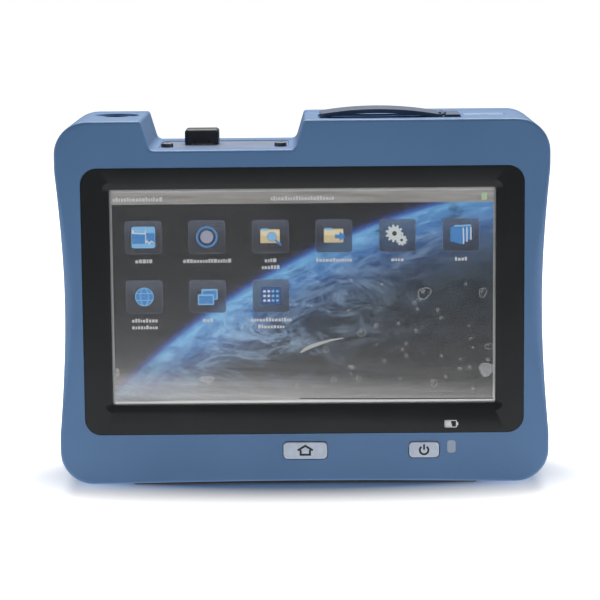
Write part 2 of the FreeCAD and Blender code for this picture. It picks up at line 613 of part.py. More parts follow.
def screen_film():
    """Protective film on the glass, with pinked upper and lower edges."""
    count = int(FILM_WIDTH / FILM_PINK)
    pitch = FILM_WIDTH / count
    y = BEZEL_BACK_Y - FILM_THICKNESS
    half_w, half_h = FILM_WIDTH / 2, FILM_HEIGHT / 2
    top, low = [], []
    for i in range(count):
        x = -half_w + i * pitch
        top += [(x, half_h - 0.45), (x + pitch / 2, half_h)]
        low += [(x, -half_h + 0.45), (x + pitch / 2, -half_h)]
    outline = top + [(half_w, half_h - 0.45), (half_w, -half_h + 0.45)] + low[::-1]
    return prism([Vector(x + FILM_SHIFT, y, SCREEN_CENTRE_Z + z) for x, z in outline], Vector(0, FILM_THICKNESS, 0))


def lcd_module():
    """Display panel with its connector tail plate behind."""
    panel = plate_y((0, SCREEN_CENTRE_Z), (LCD_WIDTH, LCD_HEIGHT), 1.0, LCD_FRONT_Y, LCD_BACK_Y)
    frame_step = plate_y((0, SCREEN_CENTRE_Z), (SCREEN_WIDTH, SCREEN_HEIGHT), 0.3, LCD_FRONT_Y - 1, LCD_FRONT_Y + 0.1)
    return panel.cut(frame_step)


def display_bracket():
    """Sheet bracket over the back of the display: staked ears, windows, and pressed studs for the board."""
    sheet = plate_y((0, SCREEN_CENTRE_Z), (LCD_WIDTH, LCD_HEIGHT - 2), 3.0, LCD_BACK_Y, BRACKET_BACK_Y)
    ears = [plate_y((x - math.copysign(4.0, x), z), (14.0, 9.0), 3.0, LCD_BACK_Y, BRACKET_BACK_Y)
            for x, z in STAKE_POSTS]
    studs = [rod_y(x, z, LCD_BACK_Y, BOARD_Y, 2.6) for x, z in BOARD_STUDS]
    windows = [plate_y((x, SCREEN_CENTRE_Z), (34.0, 60.0), 4.0, LCD_BACK_Y - 1, BRACKET_BACK_Y + 1)
               for x in (-46.0, 0.0, 46.0)]
    holes = [rod_y(x, z, LCD_BACK_Y - 1, BRACKET_BACK_Y + 1, STAKE_RADIUS) for x, z in STAKE_POSTS]
    return joined([sheet] + ears + studs).cut(windows + holes)


def status_light():
    pipe = plate_y((LED_X, LED_Z), LED_SIZE, 1.2, FRONT_Y, KEYPAD_Y - 0.6)
    collar = plate_y((LED_X, LED_Z), (LED_SIZE[0] + 2.0, LED_SIZE[1] + 2.0), 1.6, INNER_FRONT_Y, INNER_FRONT_Y + 0.9)
    return pipe.fuse(collar)


# ---------------------------------------------------------------- keys
def key(x, size):
    """Key cap with a rounded rim and a flange that keeps it behind the wall."""
    w, h = size
    cap = plate_y((x, BUTTON_Z), (w, h), BUTTON_CORNER, FRONT_Y - BUTTON_PROUD, KEY_FLANGE_Y + 0.2)
    rim = [e for e in cap.Edges if lies_in_y(e, FRONT_Y - BUTTON_PROUD)]
    cap = cap.makeFillet(0.5, rim)
    flange = plate_y((x, BUTTON_Z), (w + 2.4, h + 2.4), BUTTON_CORNER + 1.0, KEY_FLANGE_Y, KEY_FLANGE_Y + 1.0)
    return cap.fuse(flange).removeSplitter()


def key_switch(x):
    base = plate_y((x, BUTTON_Z), (6.2, 6.2), 0.4, KEYPAD_Y - 1.7, KEYPAD_Y)
    plunger = rod_y(x, BUTTON_Z, KEY_FLANGE_Y + 1.0 + BUTTON_TRAVEL + 0.3, KEYPAD_Y - 1.0, 1.7)
    return base.fuse(plunger).removeSplitter()


def keypad_board():
    board = plate_y(KEYPAD_CENTRE, KEYPAD_SIZE, 1.5, KEYPAD_Y, KEYPAD_Y + 1.2)
    light_chip = block(LED_X - 1.2, LED_X + 1.2, KEYPAD_Y - 0.5, KEYPAD_Y + 0.1, LED_Z - 1.2, LED_Z + 1.2)
    return board.fuse(light_chip)


# ---------------------------------------------------------------- electronics
def main_board():
    """Main board with its processor block and connector headers."""
    x, z = MAIN_BOARD_CENTRE
    front, back = BOARD_Y + 0.1, BOARD_BACK_Y - 0.1
    board = plate_y(MAIN_BOARD_CENTRE, MAIN_BOARD_SIZE, 2.0, BOARD_Y, BOARD_BACK_Y)
    processor = block(x - 22, x + 6, BOARD_Y - 2.4, front, z - 17, z + 11)
    memory = block(x + 23, x + 41, BOARD_Y - 1.8, front, z - 7, z + 7)
    rear_header = block(x - 63, x - 45, back, BOARD_BACK_Y + 2.2, z - 17, z - 11)
    front_header = block(x + 53, x + 67, BOARD_Y - 5, front, z + 15, z + 20)
    return joined([board, processor, memory, rear_header, front_header])


def shield_can():
    """Drawn metal lid over the receiver circuit on the front of the board."""
    centre = (MAIN_BOARD_CENTRE[0] - 43.0, MAIN_BOARD_CENTRE[1] + 21.0)
    can = plate_y(centre, (38.0, 30.0), 2.0, BOARD_Y - 4.5, BOARD_Y)
    return can.cut(plate_y(centre, (37.0, 29.0), 1.6, BOARD_Y - 4.0, BOARD_Y + 1))


def socket_panel():
    """Insert under the opening of the ear, which frames the mouths of the data sockets."""
    panel = plate_z(SOCKET_CENTRE, SOCKET_PANEL, 2.5, PANEL_TOP_Z - SOCKET_PANEL_THICKNESS, PANEL_TOP_Z)
    frames = [((NETWORK_X, SOCKET_CENTRE[1]), NETWORK_SIZE)] + [((USB_X, y), USB_SIZE) for y in USB_YS]
    return panel.cut([plate_z(centre, (w + 2 * FIT, d + 2 * FIT), 0.5, PANEL_TOP_Z - 9, PANEL_TOP_Z + 1)
                      for centre, (w, d) in frames])


def socket_board():
    size = (SOCKET_PANEL[0] - 4.0, SOCKET_PANEL[1] - 2.0)
    return plate_z(SOCKET_CENTRE, size, 1.0, SOCKET_BOTTOM_Z - 1.6, SOCKET_BOTTOM_Z)


def network_socket():
    """Eight-way data socket, mouth up, with its latch notch."""
    x, y = NETWORK_X, SOCKET_CENTRE[1] + 1.3
    (w, d), floor, above = NETWORK_MOUTH, PANEL_TOP_Z - 12.5, PANEL_TOP_Z + 1
    body = plate_z((x, SOCKET_CENTRE[1]), NETWORK_SIZE, 0.4, SOCKET_BOTTOM_Z, PANEL_TOP_Z)
    mouth = block(x - w / 2, x + w / 2, y - d / 2, y + d / 2, floor, above)
    notch = block(x - 3.2, x + 3.2, y - d / 2 - 2.0, y, floor, above)
    latch = block(x - 1.6, x + 1.6, y - d / 2 - 3.1, y, floor, above)
    return body.cut([mouth, notch, latch])


def usb_socket(y):
    """Host socket, mouth up, with its contact tongue."""
    w, d = USB_MOUTH
    floor = PANEL_TOP_Z - 12.0
    body = plate_z((USB_X, y), USB_SIZE, 0.6, SOCKET_BOTTOM_Z, PANEL_TOP_Z)
    mouth = block(USB_X - w / 2, USB_X + w / 2, y - d / 2, y + d / 2, floor, PANEL_TOP_Z + 1)
    tongue = block(USB_X - w / 2 + 0.75, USB_X + w / 2 - 0.75, y + 0.2, y + 2.1, floor - 0.5, PANEL_TOP_Z - 1.0)
    return body.cut(mouth).fuse(tongue).removeSplitter()


def power_inlet():
    """Barrel jack under its hole, with a collar against the ear."""
    body = plate_z((JACK_X, JACK_Y), (14.0, 13.0), 1.5, JACK_FACE_Z - 15.6, JACK_FACE_Z - 2.0)
    collar = rod(JACK_X, JACK_Y, JACK_FACE_Z - 2.2, JACK_FACE_Z, JACK_HOLE_RADIUS + 1.1)
    bore = rod(JACK_X, JACK_Y, JACK_FACE_Z - JACK_BORE_DEPTH, JACK_FACE_Z + 1, JACK_BORE_RADIUS)
    return joined([body, collar]).cut(bore)


def inlet_pin():
    """Centre contact of the inlet, with a rounded end."""
    end_z = JACK_FACE_Z - 0.8 - JACK_PIN_RADIUS
    pin = rod(JACK_X, JACK_Y, JACK_FACE_Z - JACK_BORE_DEPTH, end_z, JACK_PIN_RADIUS)
    return pin.fuse(Part.makeSphere(JACK_PIN_RADIUS, Vector(JACK_X, JACK_Y, end_z))).removeSplitter()


def optical_module():
    """The measuring engine: a closed box with cooling ribs and the neck that carries the optical port."""
    (x, z), (w, h), (y0, y1) = MODULE_CENTRE, MODULE_SIZE, MODULE_Y
    box = plate_y(MODULE_CENTRE, MODULE_SIZE, 2.5, y0, y1)
    neck = plate_z((PORT_X, PORT_Y), (13.0, 9.0), 1.0, z + h / 2 - 0.5, PORT_FLANGE_Z)
    ribs = [block(x - w / 2 + 4.0 + 6.0 * i, x - w / 2 + 5.4 + 6.0 * i, y1 - 0.2, y1 + 2.0, z - 15, z + 15)
            for i in range(10)]
    return joined([box, neck] + ribs)


# ---------------------------------------------------------------- optical port
def port_plate():
    """Adapter plate on the bay floor, drilled for its two screws and open round the port."""
    plate = plate_z(BAY_PLATE_CENTRE, BAY_PLATE_SIZE, 3.0, PLATE_BOTTOM_Z, PLATE_TOP_Z)
    opening = plate_z((PORT_X, PORT_Y), (PORT_BLOCK[0] + 2 * 0.1, PORT_BLOCK[1] + 2 * 0.1), 1.2, 120, 160)
    holes = [rod(x, PLATE_SCREW_Y, 120, 160, PLATE_SCREW_RADIUS + 0.2) for x in PLATE_SCREW_XS]
    return plate.cut([opening] + holes)


def pan_head_screw(x, y, seat_z):
    """Pan-head machine screw with a cross recess, standing along Z."""
    head = rod(x, y, seat_z, seat_z + 1.7, 2.5)
    head = head.makeFillet(0.8, [e for e in head.Edges if abs(e.BoundBox.ZMin - seat_z - 1.7) < 0.01
                                 and abs(e.BoundBox.ZMax - seat_z - 1.7) < 0.01])
    shank = rod(x, y, seat_z - 9.0, seat_z + 0.1, PLATE_SCREW_RADIUS)
    cross = [block(x - 1.4, x + 1.4, y - 0.3, y + 0.3, seat_z + 0.8, seat_z + 3),
             block(x - 0.3, x + 0.3, y - 1.4, y + 1.4, seat_z + 0.8, seat_z + 3)]
    return head.fuse(shank).removeSplitter().cut(cross)


def port_block():
    """Plated block of the port: a chamfered head above the plate and a flange below it."""
    w, d = PORT_BLOCK
    head = plate_z((PORT_X, PORT_Y), (w, d), 1.2, PORT_FLANGE_Z, PORT_FACE_Z)
    head = head.makeChamfer(0.5, [e for e in head.Edges if abs(e.BoundBox.ZMin - PORT_FACE_Z) < 0.01
                                  and abs(e.BoundBox.ZMax - PORT_FACE_Z) < 0.01])
    flange = plate_z((PORT_X, PORT_Y), (15.0, 13.0), 1.5, PORT_FLANGE_Z, PLATE_BOTTOM_Z)
    bore = rod(PORT_X, PORT_Y, PORT_FLANGE_Z - 1, PORT_FACE_Z + 1, INSULATOR_RADIUS)
    return joined([head, flange]).cut(bore)


def insulating_ring():
    ring = rod(PORT_X, PORT_Y, PORT_FLANGE_Z, PORT_FACE_Z + 0.5, INSULATOR_RADIUS)
    return ring.cut(rod(PORT_X, PORT_Y, PORT_FLANGE_Z - 1, PORT_FACE_Z + 2, SLEEVE_RADIUS))


def ferrule_sleeve():
    """Chromed guide tube with two flats' worth of key slot at its mouth."""
    tube = rod(PORT_X, PORT_Y, PORT_FLANGE_Z, SLEEVE_TOP_Z, SLEEVE_RADIUS)
    slot = block(PORT_X - 0.35, PORT_X + 0.35, PORT_Y - 4, PORT_Y, SLEEVE_TOP_Z - 1.2, SLEEVE_TOP_Z + 1)
    return tube.cut([rod(PORT_X, PORT_Y, PORT_FLANGE_Z - 1, SLEEVE_TOP_Z + 1, FERRULE_RADIUS), slot])


def ferrule():
    pin = rod(PORT_X, PORT_Y, PORT_FLANGE_Z, SLEEVE_TOP_Z - 0.3, FERRULE_RADIUS)
    rim = [e for e in pin.Edges if abs(e.BoundBox.ZMin - SLEEVE_TOP_Z + 0.3) < 0.01
           and abs(e.BoundBox.ZMax - SLEEVE_TOP_Z + 0.3) < 0.01]
    return pin.makeChamfer(0.3, rim)


def bayonet_hook(sign):
    """One of the two claws that hold an adapter: a stem on the block and a nose turned inwards."""
    x = PORT_X + sign * 4.35
    stem = block(x - 0.45, x + 0.45, PORT_Y - 1.3, PORT_Y + 1.3, PORT_FACE_Z, PORT_FACE_Z + 2.6)
    nose_x = (x - 0.45 - 0.5, x - 0.4) if sign > 0 else (x + 0.4, x + 0.45 + 0.5)
    nose = block(nose_x[0], nose_x[1], PORT_Y - 1.3, PORT_Y + 1.3, PORT_FACE_Z + 1.7, PORT_FACE_Z + 2.6)
    return stem.fuse(nose).removeSplitter()


def cap_bracket():
    """Two lugs on a foot, which carry the pin of the cap."""
    y, z = CAP_AXIS
    lugs = []
    for sign in (-1, 1):
        x = PORT_X + sign * (CAP_BARREL / 2 + 0.3 + 1.3)
        eye = rod_x(y, z, x - 1.3, x + 1.3, CAP_KNUCKLE_RADIUS)
        foot = block(x - 1.3, x + 1.3, y - CAP_KNUCKLE_RADIUS, y + CAP_KNUCKLE_RADIUS, PLATE_TOP_Z, z)
        lugs += [eye, foot]
    tie = block(PORT_X - 5.9, PORT_X + 5.9, y + CAP_KNUCKLE_RADIUS - 0.1, y + CAP_KNUCKLE_RADIUS + 0.7,
                PLATE_TOP_Z, PLATE_TOP_Z + 0.8)
    feet = [block(PORT_X + sign * 4.6 - 1.3, PORT_X + sign * 4.6 + 1.3, y + 1.0, y + CAP_KNUCKLE_RADIUS + 0.7,
                  PLATE_TOP_Z, PLATE_TOP_Z + 0.8) for sign in (-1, 1)]
    hole = rod_x(y, z, PORT_X - 20, PORT_X + 20, CAP_PIN_RADIUS)
    return joined(lugs + [tie] + feet).cut(hole)


def cap_pin():
    y, z = CAP_AXIS
    return rod_x(y, z, PORT_X - CAP_BARREL / 2 - 2.9, PORT_X + CAP_BARREL / 2 + 2.9, CAP_PIN_RADIUS)


def port_cap():
    """Flip cap: a hollow hood with soft upper edges, a finger nib in front, and a hinge barrel behind."""
    w, d = CAP_SIZE
    hood = plate_z((PORT_X, PORT_Y), (w, d), 1.5, CAP_BOTTOM_Z, CAP_TOP_Z)
    hood = hood.makeFillet(1.3, [e for e in hood.Edges if abs(e.BoundBox.ZMin - CAP_TOP_Z) < 0.01
                                 and abs(e.BoundBox.ZMax - CAP_TOP_Z) < 0.01])
    y, z = CAP_AXIS
    barrel = rod_x(y, z, PORT_X - CAP_BARREL / 2, PORT_X + CAP_BARREL / 2, CAP_KNUCKLE_RADIUS)
    neck = block(PORT_X - CAP_BARREL / 2, PORT_X + CAP_BARREL / 2, PORT_Y + d / 2 - 0.6, y, z - 0.9, z + CAP_KNUCKLE_RADIUS)
    nib = plate_z((PORT_X, PORT_Y - d / 2), (6.0, 1.6), 0.7, CAP_BOTTOM_Z + 0.2, CAP_BOTTOM_Z + 1.4)
    hollow = plate_z((PORT_X, PORT_Y), (w - 2.4, d - 2.4), 0.8, CAP_BOTTOM_Z - 1, CAP_TOP_Z - 1.3)
    pin_way = rod_x(y, z, PORT_X - 20, PORT_X + 20, CAP_PIN_RADIUS + 0.05)
    return joined([hood, barrel, neck, nib]).cut([hollow, pin_way])


# ---------------------------------------------------------------- flap over the sockets
def flap():
    """Bowed rubber flap with a knuckle at its right end."""
    left, right = (FLAP_LEFT_X, SEAT_Z + 0.7), (FLAP_RIGHT_X - 0.3, SEAT_Z + 0.3)
    middle = ((left[0] + right[0]) / 2, (left[1] + right[1]) / 2 + FLAP_BOW)
    y0 = FLAP_FRONT_Y

    def edge(lift):
        return [Vector(p[0], y0, p[1] + lift) for p in (left, middle, right)]
    low, high = edge(0), edge(FLAP_THICKNESS)
    wire = Part.Wire([arc(*low), Part.LineSegment(low[2], high[2]).toShape(), arc(*high[::-1]),
                      Part.LineSegment(high[0], low[0]).toShape()])
    sheet = Part.Face(wire).extrude(Vector(0, FLAP_DEPTH, 0))
    ends = [e for e in sheet.Edges if e.BoundBox.ZLength > 1 and e.BoundBox.YLength < 0.1 and e.BoundBox.XLength < 0.1]
    left_ends = [e for e in ends if e.BoundBox.XMin < FLAP_LEFT_X + 0.1]
    sheet = sheet.makeFillet(3.0, left_ends)
    sheet = sheet.makeFillet(0.6, [e for e in sheet.Edges if e.BoundBox.XLength > 30 and e.BoundBox.ZMin > SEAT_Z + 1.2])
    front, rear = FLAP_CENTRE_Y - FLAP_KNUCKLE / 2, FLAP_CENTRE_Y + FLAP_KNUCKLE / 2
    knuckle = rod_y(HINGE_X, HINGE_Z, front, rear, KNUCKLE_RADIUS)
    neck = block(right[0] - 0.5, HINGE_X, front, rear, HINGE_Z - 0.8, HINGE_Z + KNUCKLE_RADIUS)
    pin_way = rod_y(HINGE_X, HINGE_Z, FLAP_FRONT_Y - 1, FLAP_REAR_Y + 1, HINGE_PIN_RADIUS + 0.05)
    return joined([sheet, knuckle, neck]).cut(pin_way)


def flap_anchor():
    """Pad that holds the flap's hinge, beside the stylus."""
    x0 = HINGE_X + KNUCKLE_RADIUS + 0.4
    pad = plate_z(((x0 + ANCHOR_RIGHT_X) / 2, FLAP_CENTRE_Y), (ANCHOR_RIGHT_X - x0, FLAP_DEPTH), 1.0, SEAT_Z,
                  SEAT_Z + FLAP_THICKNESS)
    parts = [pad]
    gap = FLAP_KNUCKLE / 2 + 0.4
    for y0, y1 in ((FLAP_FRONT_Y, FLAP_CENTRE_Y - gap), (FLAP_CENTRE_Y + gap, FLAP_REAR_Y)):
        parts.append(rod_y(HINGE_X, HINGE_Z, y0, y1, KNUCKLE_RADIUS))
        parts.append(block(HINGE_X, x0 + 1.5, y0, y1, HINGE_Z - 0.8, HINGE_Z + 0.6))
    return joined(parts).cut(rod_y(HINGE_X, HINGE_Z, FLAP_FRONT_Y - 1, FLAP_REAR_Y + 1, HINGE_PIN_RADIUS))


def flap_pin():
    return rod_y(HINGE_X, HINGE_Z, FLAP_FRONT_Y + 0.2, FLAP_REAR_Y - 0.2, HINGE_PIN_RADIUS)


# ---------------------------------------------------------------- stylus
def stylus_head():
    """Flat head that closes the seat, with a short socket on the barrel."""
    w, d, h = STYLUS_HEAD
    head = plate_z((STYLUS_X, STYLUS_Y), (w, d), 2.7, BODY_TOP - h, BODY_TOP + 0.15)
    head = head.makeFillet(0.5, [e for e in head.Edges if abs(e.BoundBox.ZMin - BODY_TOP - 0.15) < 0.01
                                 and abs(e.BoundBox.ZMax - BODY_TOP - 0.15) < 0.01])
    collar = rod(STYLUS_X, STYLUS_Y, BODY_TOP - h - 7.0, BODY_TOP - h + 0.2, STYLUS_RADIUS)
    return head.fuse(collar).removeSplitter()


def stylus_barrel():
    top = BODY_TOP - STYLUS_HEAD[2] - 7.0
    barrel = rod(STYLUS_X, STYLUS_Y, BODY_TOP - STYLUS_LENGTH + 9.0, top, STYLUS_RADIUS)
    grooves = []
    for i in range(6):
        z = BODY_TOP - STYLUS_LENGTH + 16.0 + 2.4 * i
        ring = rod(STYLUS_X, STYLUS_Y, z, z + 1.0, STYLUS_RADIUS + 1)
        grooves.append(ring.cut(rod(STYLUS_X, STYLUS_Y, z - 1, z + 2, STYLUS_RADIUS - 0.3)))
    return barrel.cut(grooves)


def stylus_tip():
    z = BODY_TOP - STYLUS_LENGTH + 9.0
    nib_z = z - 8.6 + STYLUS_NIB
    cone = Part.makeCone(STYLUS_NIB, STYLUS_RADIUS, z - nib_z, Vector(STYLUS_X, STYLUS_Y, nib_z), Vector(0, 0, 1))
    nib = Part.makeSphere(STYLUS_NIB, Vector(STYLUS_X, STYLUS_Y, nib_z))
    return cone.fuse(nib).removeSplitter()


def stylus_tube():
    """Guide tube under the ear, closed at its foot."""
    top = STYLUS_PAD_Z
    foot = BODY_TOP - STYLUS_LENGTH - 1.5
    tube = rod(STYLUS_X, STYLUS_Y, foot, top, STYLUS_RADIUS + STYLUS_GAP + 0.9)
    flange = rod(STYLUS_X, STYLUS_Y, top - 1.2, top, STYLUS_RADIUS + STYLUS_GAP + 2.6)
    bore = rod(STYLUS_X, STYLUS_Y, foot + 1.2, top + 1, STYLUS_RADIUS + STYLUS_GAP)
    return joined([tube, flange]).cut(bore)


# ---------------------------------------------------------------- stand, battery, feet
def stand():
    """Folding stand: a flat bail with a round hinge edge, drilled for its two pins."""
    size = (STAND_WIDTH, STAND_HEIGHT - STAND_THICKNESS / 2)
    y0, y1 = STAND_AXIS_Y - STAND_THICKNESS / 2, STAND_AXIS_Y + STAND_THICKNESS / 2
    leaf = plate_y((0, STAND_BOTTOM_Z + size[1] / 2), size, 4.2, y0, y1)
    leaf = leaf.cut(block(-STAND_WIDTH, STAND_WIDTH, y0 - 1, y1 + 1, STAND_AXIS_Z - 4.5, STAND_TOP_Z + 1))
    leaf = leaf.fuse(block(-STAND_WIDTH / 2, STAND_WIDTH / 2, y0, y1, STAND_AXIS_Z - 4.5, STAND_AXIS_Z))
    edge = rod_x(STAND_AXIS_Y, STAND_AXIS_Z, -STAND_WIDTH / 2, STAND_WIDTH / 2, STAND_THICKNESS / 2)
    window = plate_y((0, STAND_CENTRE_Z + 3.0), STAND_WINDOW, 5.0, y0 - 1, y1 + 1)
    pad_seat = plate_y((0, STAND_BOTTOM_Z + STAND_PAD_RISE), STAND_PAD_SIZE, 2.0, y1 - 1.0, y1 + 1)
    relief = plate_y((0, STAND_AXIS_Z - 3.0), (20.0, 12.0), 2.0, y0 - 1, y1 + 1)
    middle = STAND_WIDTH / 2 + STAND_PIN_GRIP - STAND_PIN_LENGTH - 1.0
    hole = rod_x(STAND_AXIS_Y, STAND_AXIS_Z, -STAND_WIDTH, STAND_WIDTH, STAND_PIN_RADIUS + STAND_PIN_CLEARANCE)
    hole = hole.cut(block(-middle, middle, y0, y1, STAND_AXIS_Z - 5, STAND_TOP_Z))
    return joined([leaf, edge]).cut([window, pad_seat, relief, hole])


def stand_pad():
    y1 = STAND_AXIS_Y + STAND_THICKNESS / 2
    return plate_y((0, STAND_BOTTOM_Z + STAND_PAD_RISE), STAND_PAD_SIZE, 2.0, y1 - 1.0, y1 + 0.3)


def stand_pin(sign):
    middle = sign * (STAND_WIDTH / 2 + STAND_PIN_GRIP - STAND_PIN_LENGTH / 2)
    return rod_x(STAND_AXIS_Y, STAND_AXIS_Z, middle - STAND_PIN_LENGTH / 2, middle + STAND_PIN_LENGTH / 2,
                 STAND_PIN_RADIUS)


def battery_pack():
    w, h = BATTERY_SIZE
    pack = plate_y((0, BATTERY_CENTRE_Z), (w, h), 2.0, BATTERY_FRONT_Y, BATTERY_REAR_Y)
    seam = plate_y((0, BATTERY_CENTRE_Z), (w + 2, h + 2), 2.0, 13.8, 14.4)
    seam = seam.cut(plate_y((0, BATTERY_CENTRE_Z), (w - 0.8, h - 0.8), 1.8, 13.0, 15.0))
    contacts = [plate_y((-26.0 + 5.0 * i, BATTERY_CENTRE_Z + 24.0), (2.4, 7.0), 0.4, BATTERY_FRONT_Y - 1,
                        BATTERY_FRONT_Y + 0.8) for i in range(5)]
    return pack.cut([seam] + contacts)


def battery_door():
    """Door over the battery with finger ribs and two countersunk holes."""
    door = plate_y((0, BATTERY_CENTRE_Z), DOOR_SIZE, 2.8, DOOR_INNER_Y, DOOR_OUTER_Y)
    ribs = [plate_y((0, BATTERY_CENTRE_Z - 22.0 + 3.0 * i), (30.0, 1.2), 0.5, DOOR_OUTER_Y - 0.5, DOOR_OUTER_Y + 1)
            for i in range(5)]
    holes = []
    for sign in (-1, 1):
        holes.append(rod_y(sign * DOOR_SCREW_X, BATTERY_CENTRE_Z, DOOR_INNER_Y - 1, DOOR_OUTER_Y + 1, DOOR_SCREW_RADIUS))
        holes.append(door_screw_cone(sign))
    return door.cut(ribs + holes)


def door_screw_cone(sign):
    return Part.makeCone(DOOR_SCREW_RADIUS, DOOR_SCREW_HEAD, 1.1, Vector(sign * DOOR_SCREW_X, DOOR_OUTER_Y - 1.1,
                         BATTERY_CENTRE_Z), Vector(0, 1, 0))


def door_screw(sign):
    """Countersunk screw with a cross recess."""
    x, z = sign * DOOR_SCREW_X, BATTERY_CENTRE_Z
    shank = rod_y(x, z, LEDGE_Y - 4.5, DOOR_OUTER_Y - 1.0, DOOR_SCREW_RADIUS)
    screw = shank.fuse(door_screw_cone(sign)).removeSplitter()
    cross = [block(x - 1.2, x + 1.2, DOOR_OUTER_Y - 0.7, DOOR_OUTER_Y + 1, z - 0.25, z + 0.25),
             block(x - 0.25, x + 0.25, DOOR_OUTER_Y - 0.7, DOOR_OUTER_Y + 1, z - 1.2, z + 1.2)]
    return screw.cut(cross)


def case_screw(place):
    """Cheese-head screw that draws the rear shell to the front shell."""
    x, z = CASE_BOSSES[place]
    head = rod_y(x, z, CASE_SCREW_SEAT_Y, CASE_SCREW_SEAT_Y + SCREW_HEAD_HEIGHT, SCREW_HEAD_RADIUS)
    shank = rod_y(x, z, CASE_SCREW_END_Y + 1.0, CASE_SCREW_SEAT_Y + 0.1, SCREW_RADIUS)
    top = CASE_SCREW_SEAT_Y + SCREW_HEAD_HEIGHT
    cross = [block(x - 1.7, x + 1.7, top - 1.0, top + 1, z - 0.35, z + 0.35),
             block(x - 0.35, x + 0.35, top - 1.0, top + 1, z - 1.7, z + 1.7)]
    return head.fuse(shank).removeSplitter().cut(cross)


def foot(span):
    """Rubber strip under the body."""
    size = (FOOT_LENGTH - 0.2, span[1] - span[0] - 0.2)
    strip = plate_z((0, sum(span) / 2), size, 2.9, 0, FOOT_TOP_Z)
    return strip.makeFillet(1.0, [e for e in strip.Edges if abs(e.BoundBox.ZMin) < 0.01 and abs(e.BoundBox.ZMax) < 0.01])


def rear_strip(sign):
    strip = plate_y((sign * REAR_STRIP_X, STRIP_Z), STRIP_SIZE, 3.9, REAR_Y - 0.8, REAR_Y + 1.0)
    return strip.makeFillet(0.8, [e for e in strip.Edges if lies_in_y(e, REAR_Y + 1.0)])


def speaker():
    """Loudspeaker behind its slots."""
    x, z, radius = SPEAKER
    rim = rod_y(x, z, REAR_Y - WALL - 4.6, REAR_Y - WALL, radius)
    dish = rod_y(x, z, REAR_Y - WALL - 1.4, REAR_Y, radius - 2.5)
    return rim.cut(dish)


# ---------------------------------------------------------------- write every piece
def pieces():
    form = outer_form()
    shapes = {
        "front_shell": front_shell(form), "rear_shell": rear_shell(form), "case_seal": seal_groove(),
        "bezel": bezel(), "touch_panel": touch_panel(), "screen_film": screen_film(),
        "lcd_module": lcd_module(), "display_bracket": display_bracket(), "status_light": status_light(),
        "home_button": key(HOME_X, HOME_SIZE), "power_button": key(POWER_X, POWER_SIZE),
        "home_switch": key_switch(HOME_X), "power_switch": key_switch(POWER_X), "keypad_board": keypad_board(),
        "main_board": main_board(), "shield_can": shield_can(), "socket_board": socket_board(),
        "socket_panel": socket_panel(),
        "network_socket": network_socket(), "usb_socket_front": usb_socket(USB_YS[0]),
        "usb_socket_rear": usb_socket(USB_YS[1]), "power_inlet": power_inlet(), "inlet_pin": inlet_pin(),
        "optical_module": optical_module(), "port_plate": port_plate(),
        "plate_screw_left": pan_head_screw(PLATE_SCREW_XS[0], PLATE_SCREW_Y, PLATE_TOP_Z),
        "plate_screw_right": pan_head_screw(PLATE_SCREW_XS[1], PLATE_SCREW_Y, PLATE_TOP_Z),
        "port_block": port_block(), "insulating_ring": insulating_ring(), "ferrule_sleeve": ferrule_sleeve(),
        "ferrule": ferrule(), "hook_left": bayonet_hook(-1), "hook_right": bayonet_hook(1),
        "cap_bracket": cap_bracket(), "cap_pin": cap_pin(), "port_cap": port_cap(),
        "flap": flap(), "flap_anchor": flap_anchor(), "flap_pin": flap_pin(),
        "stylus_head": stylus_head(), "stylus_barrel": stylus_barrel(), "stylus_tip": stylus_tip(),
        "stylus_tube": stylus_tube(), "stand": stand(), "stand_pad": stand_pad(),
        "stand_pin_left": stand_pin(-1), "stand_pin_right": stand_pin(1),
        "battery_pack": battery_pack(), "battery_door": battery_door(),
        "door_screw_left": door_screw(-1), "door_screw_right": door_screw(1),
        "foot_front": foot(FRONT_FOOT_Y), "foot_rear": foot(REAR_FOOT_Y),
        "rear_strip_left": rear_strip(-1), "rear_strip_right": rear_strip(1), "speaker": speaker(),
    }
    for place in CASE_BOSSES:
        shapes["case_screw_" + place] = case_screw(place)
    return shapes


def write():
    os.makedirs("parts", exist_ok=True)
    for node, shape in pieces().items():
        if shape.ShapeType == "Compound" and len(shape.Solids) == 1:
            shape = shape.Solids[0]
        shape.exportStep("parts/" + node + ".step")


write()
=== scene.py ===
"""Looks of a handheld fibre tester: blue moulded body, black screen frame, optical port in a bay on top."""

import json
import math

import bpy
import numpy as np
from mathutils import Matrix, Vector

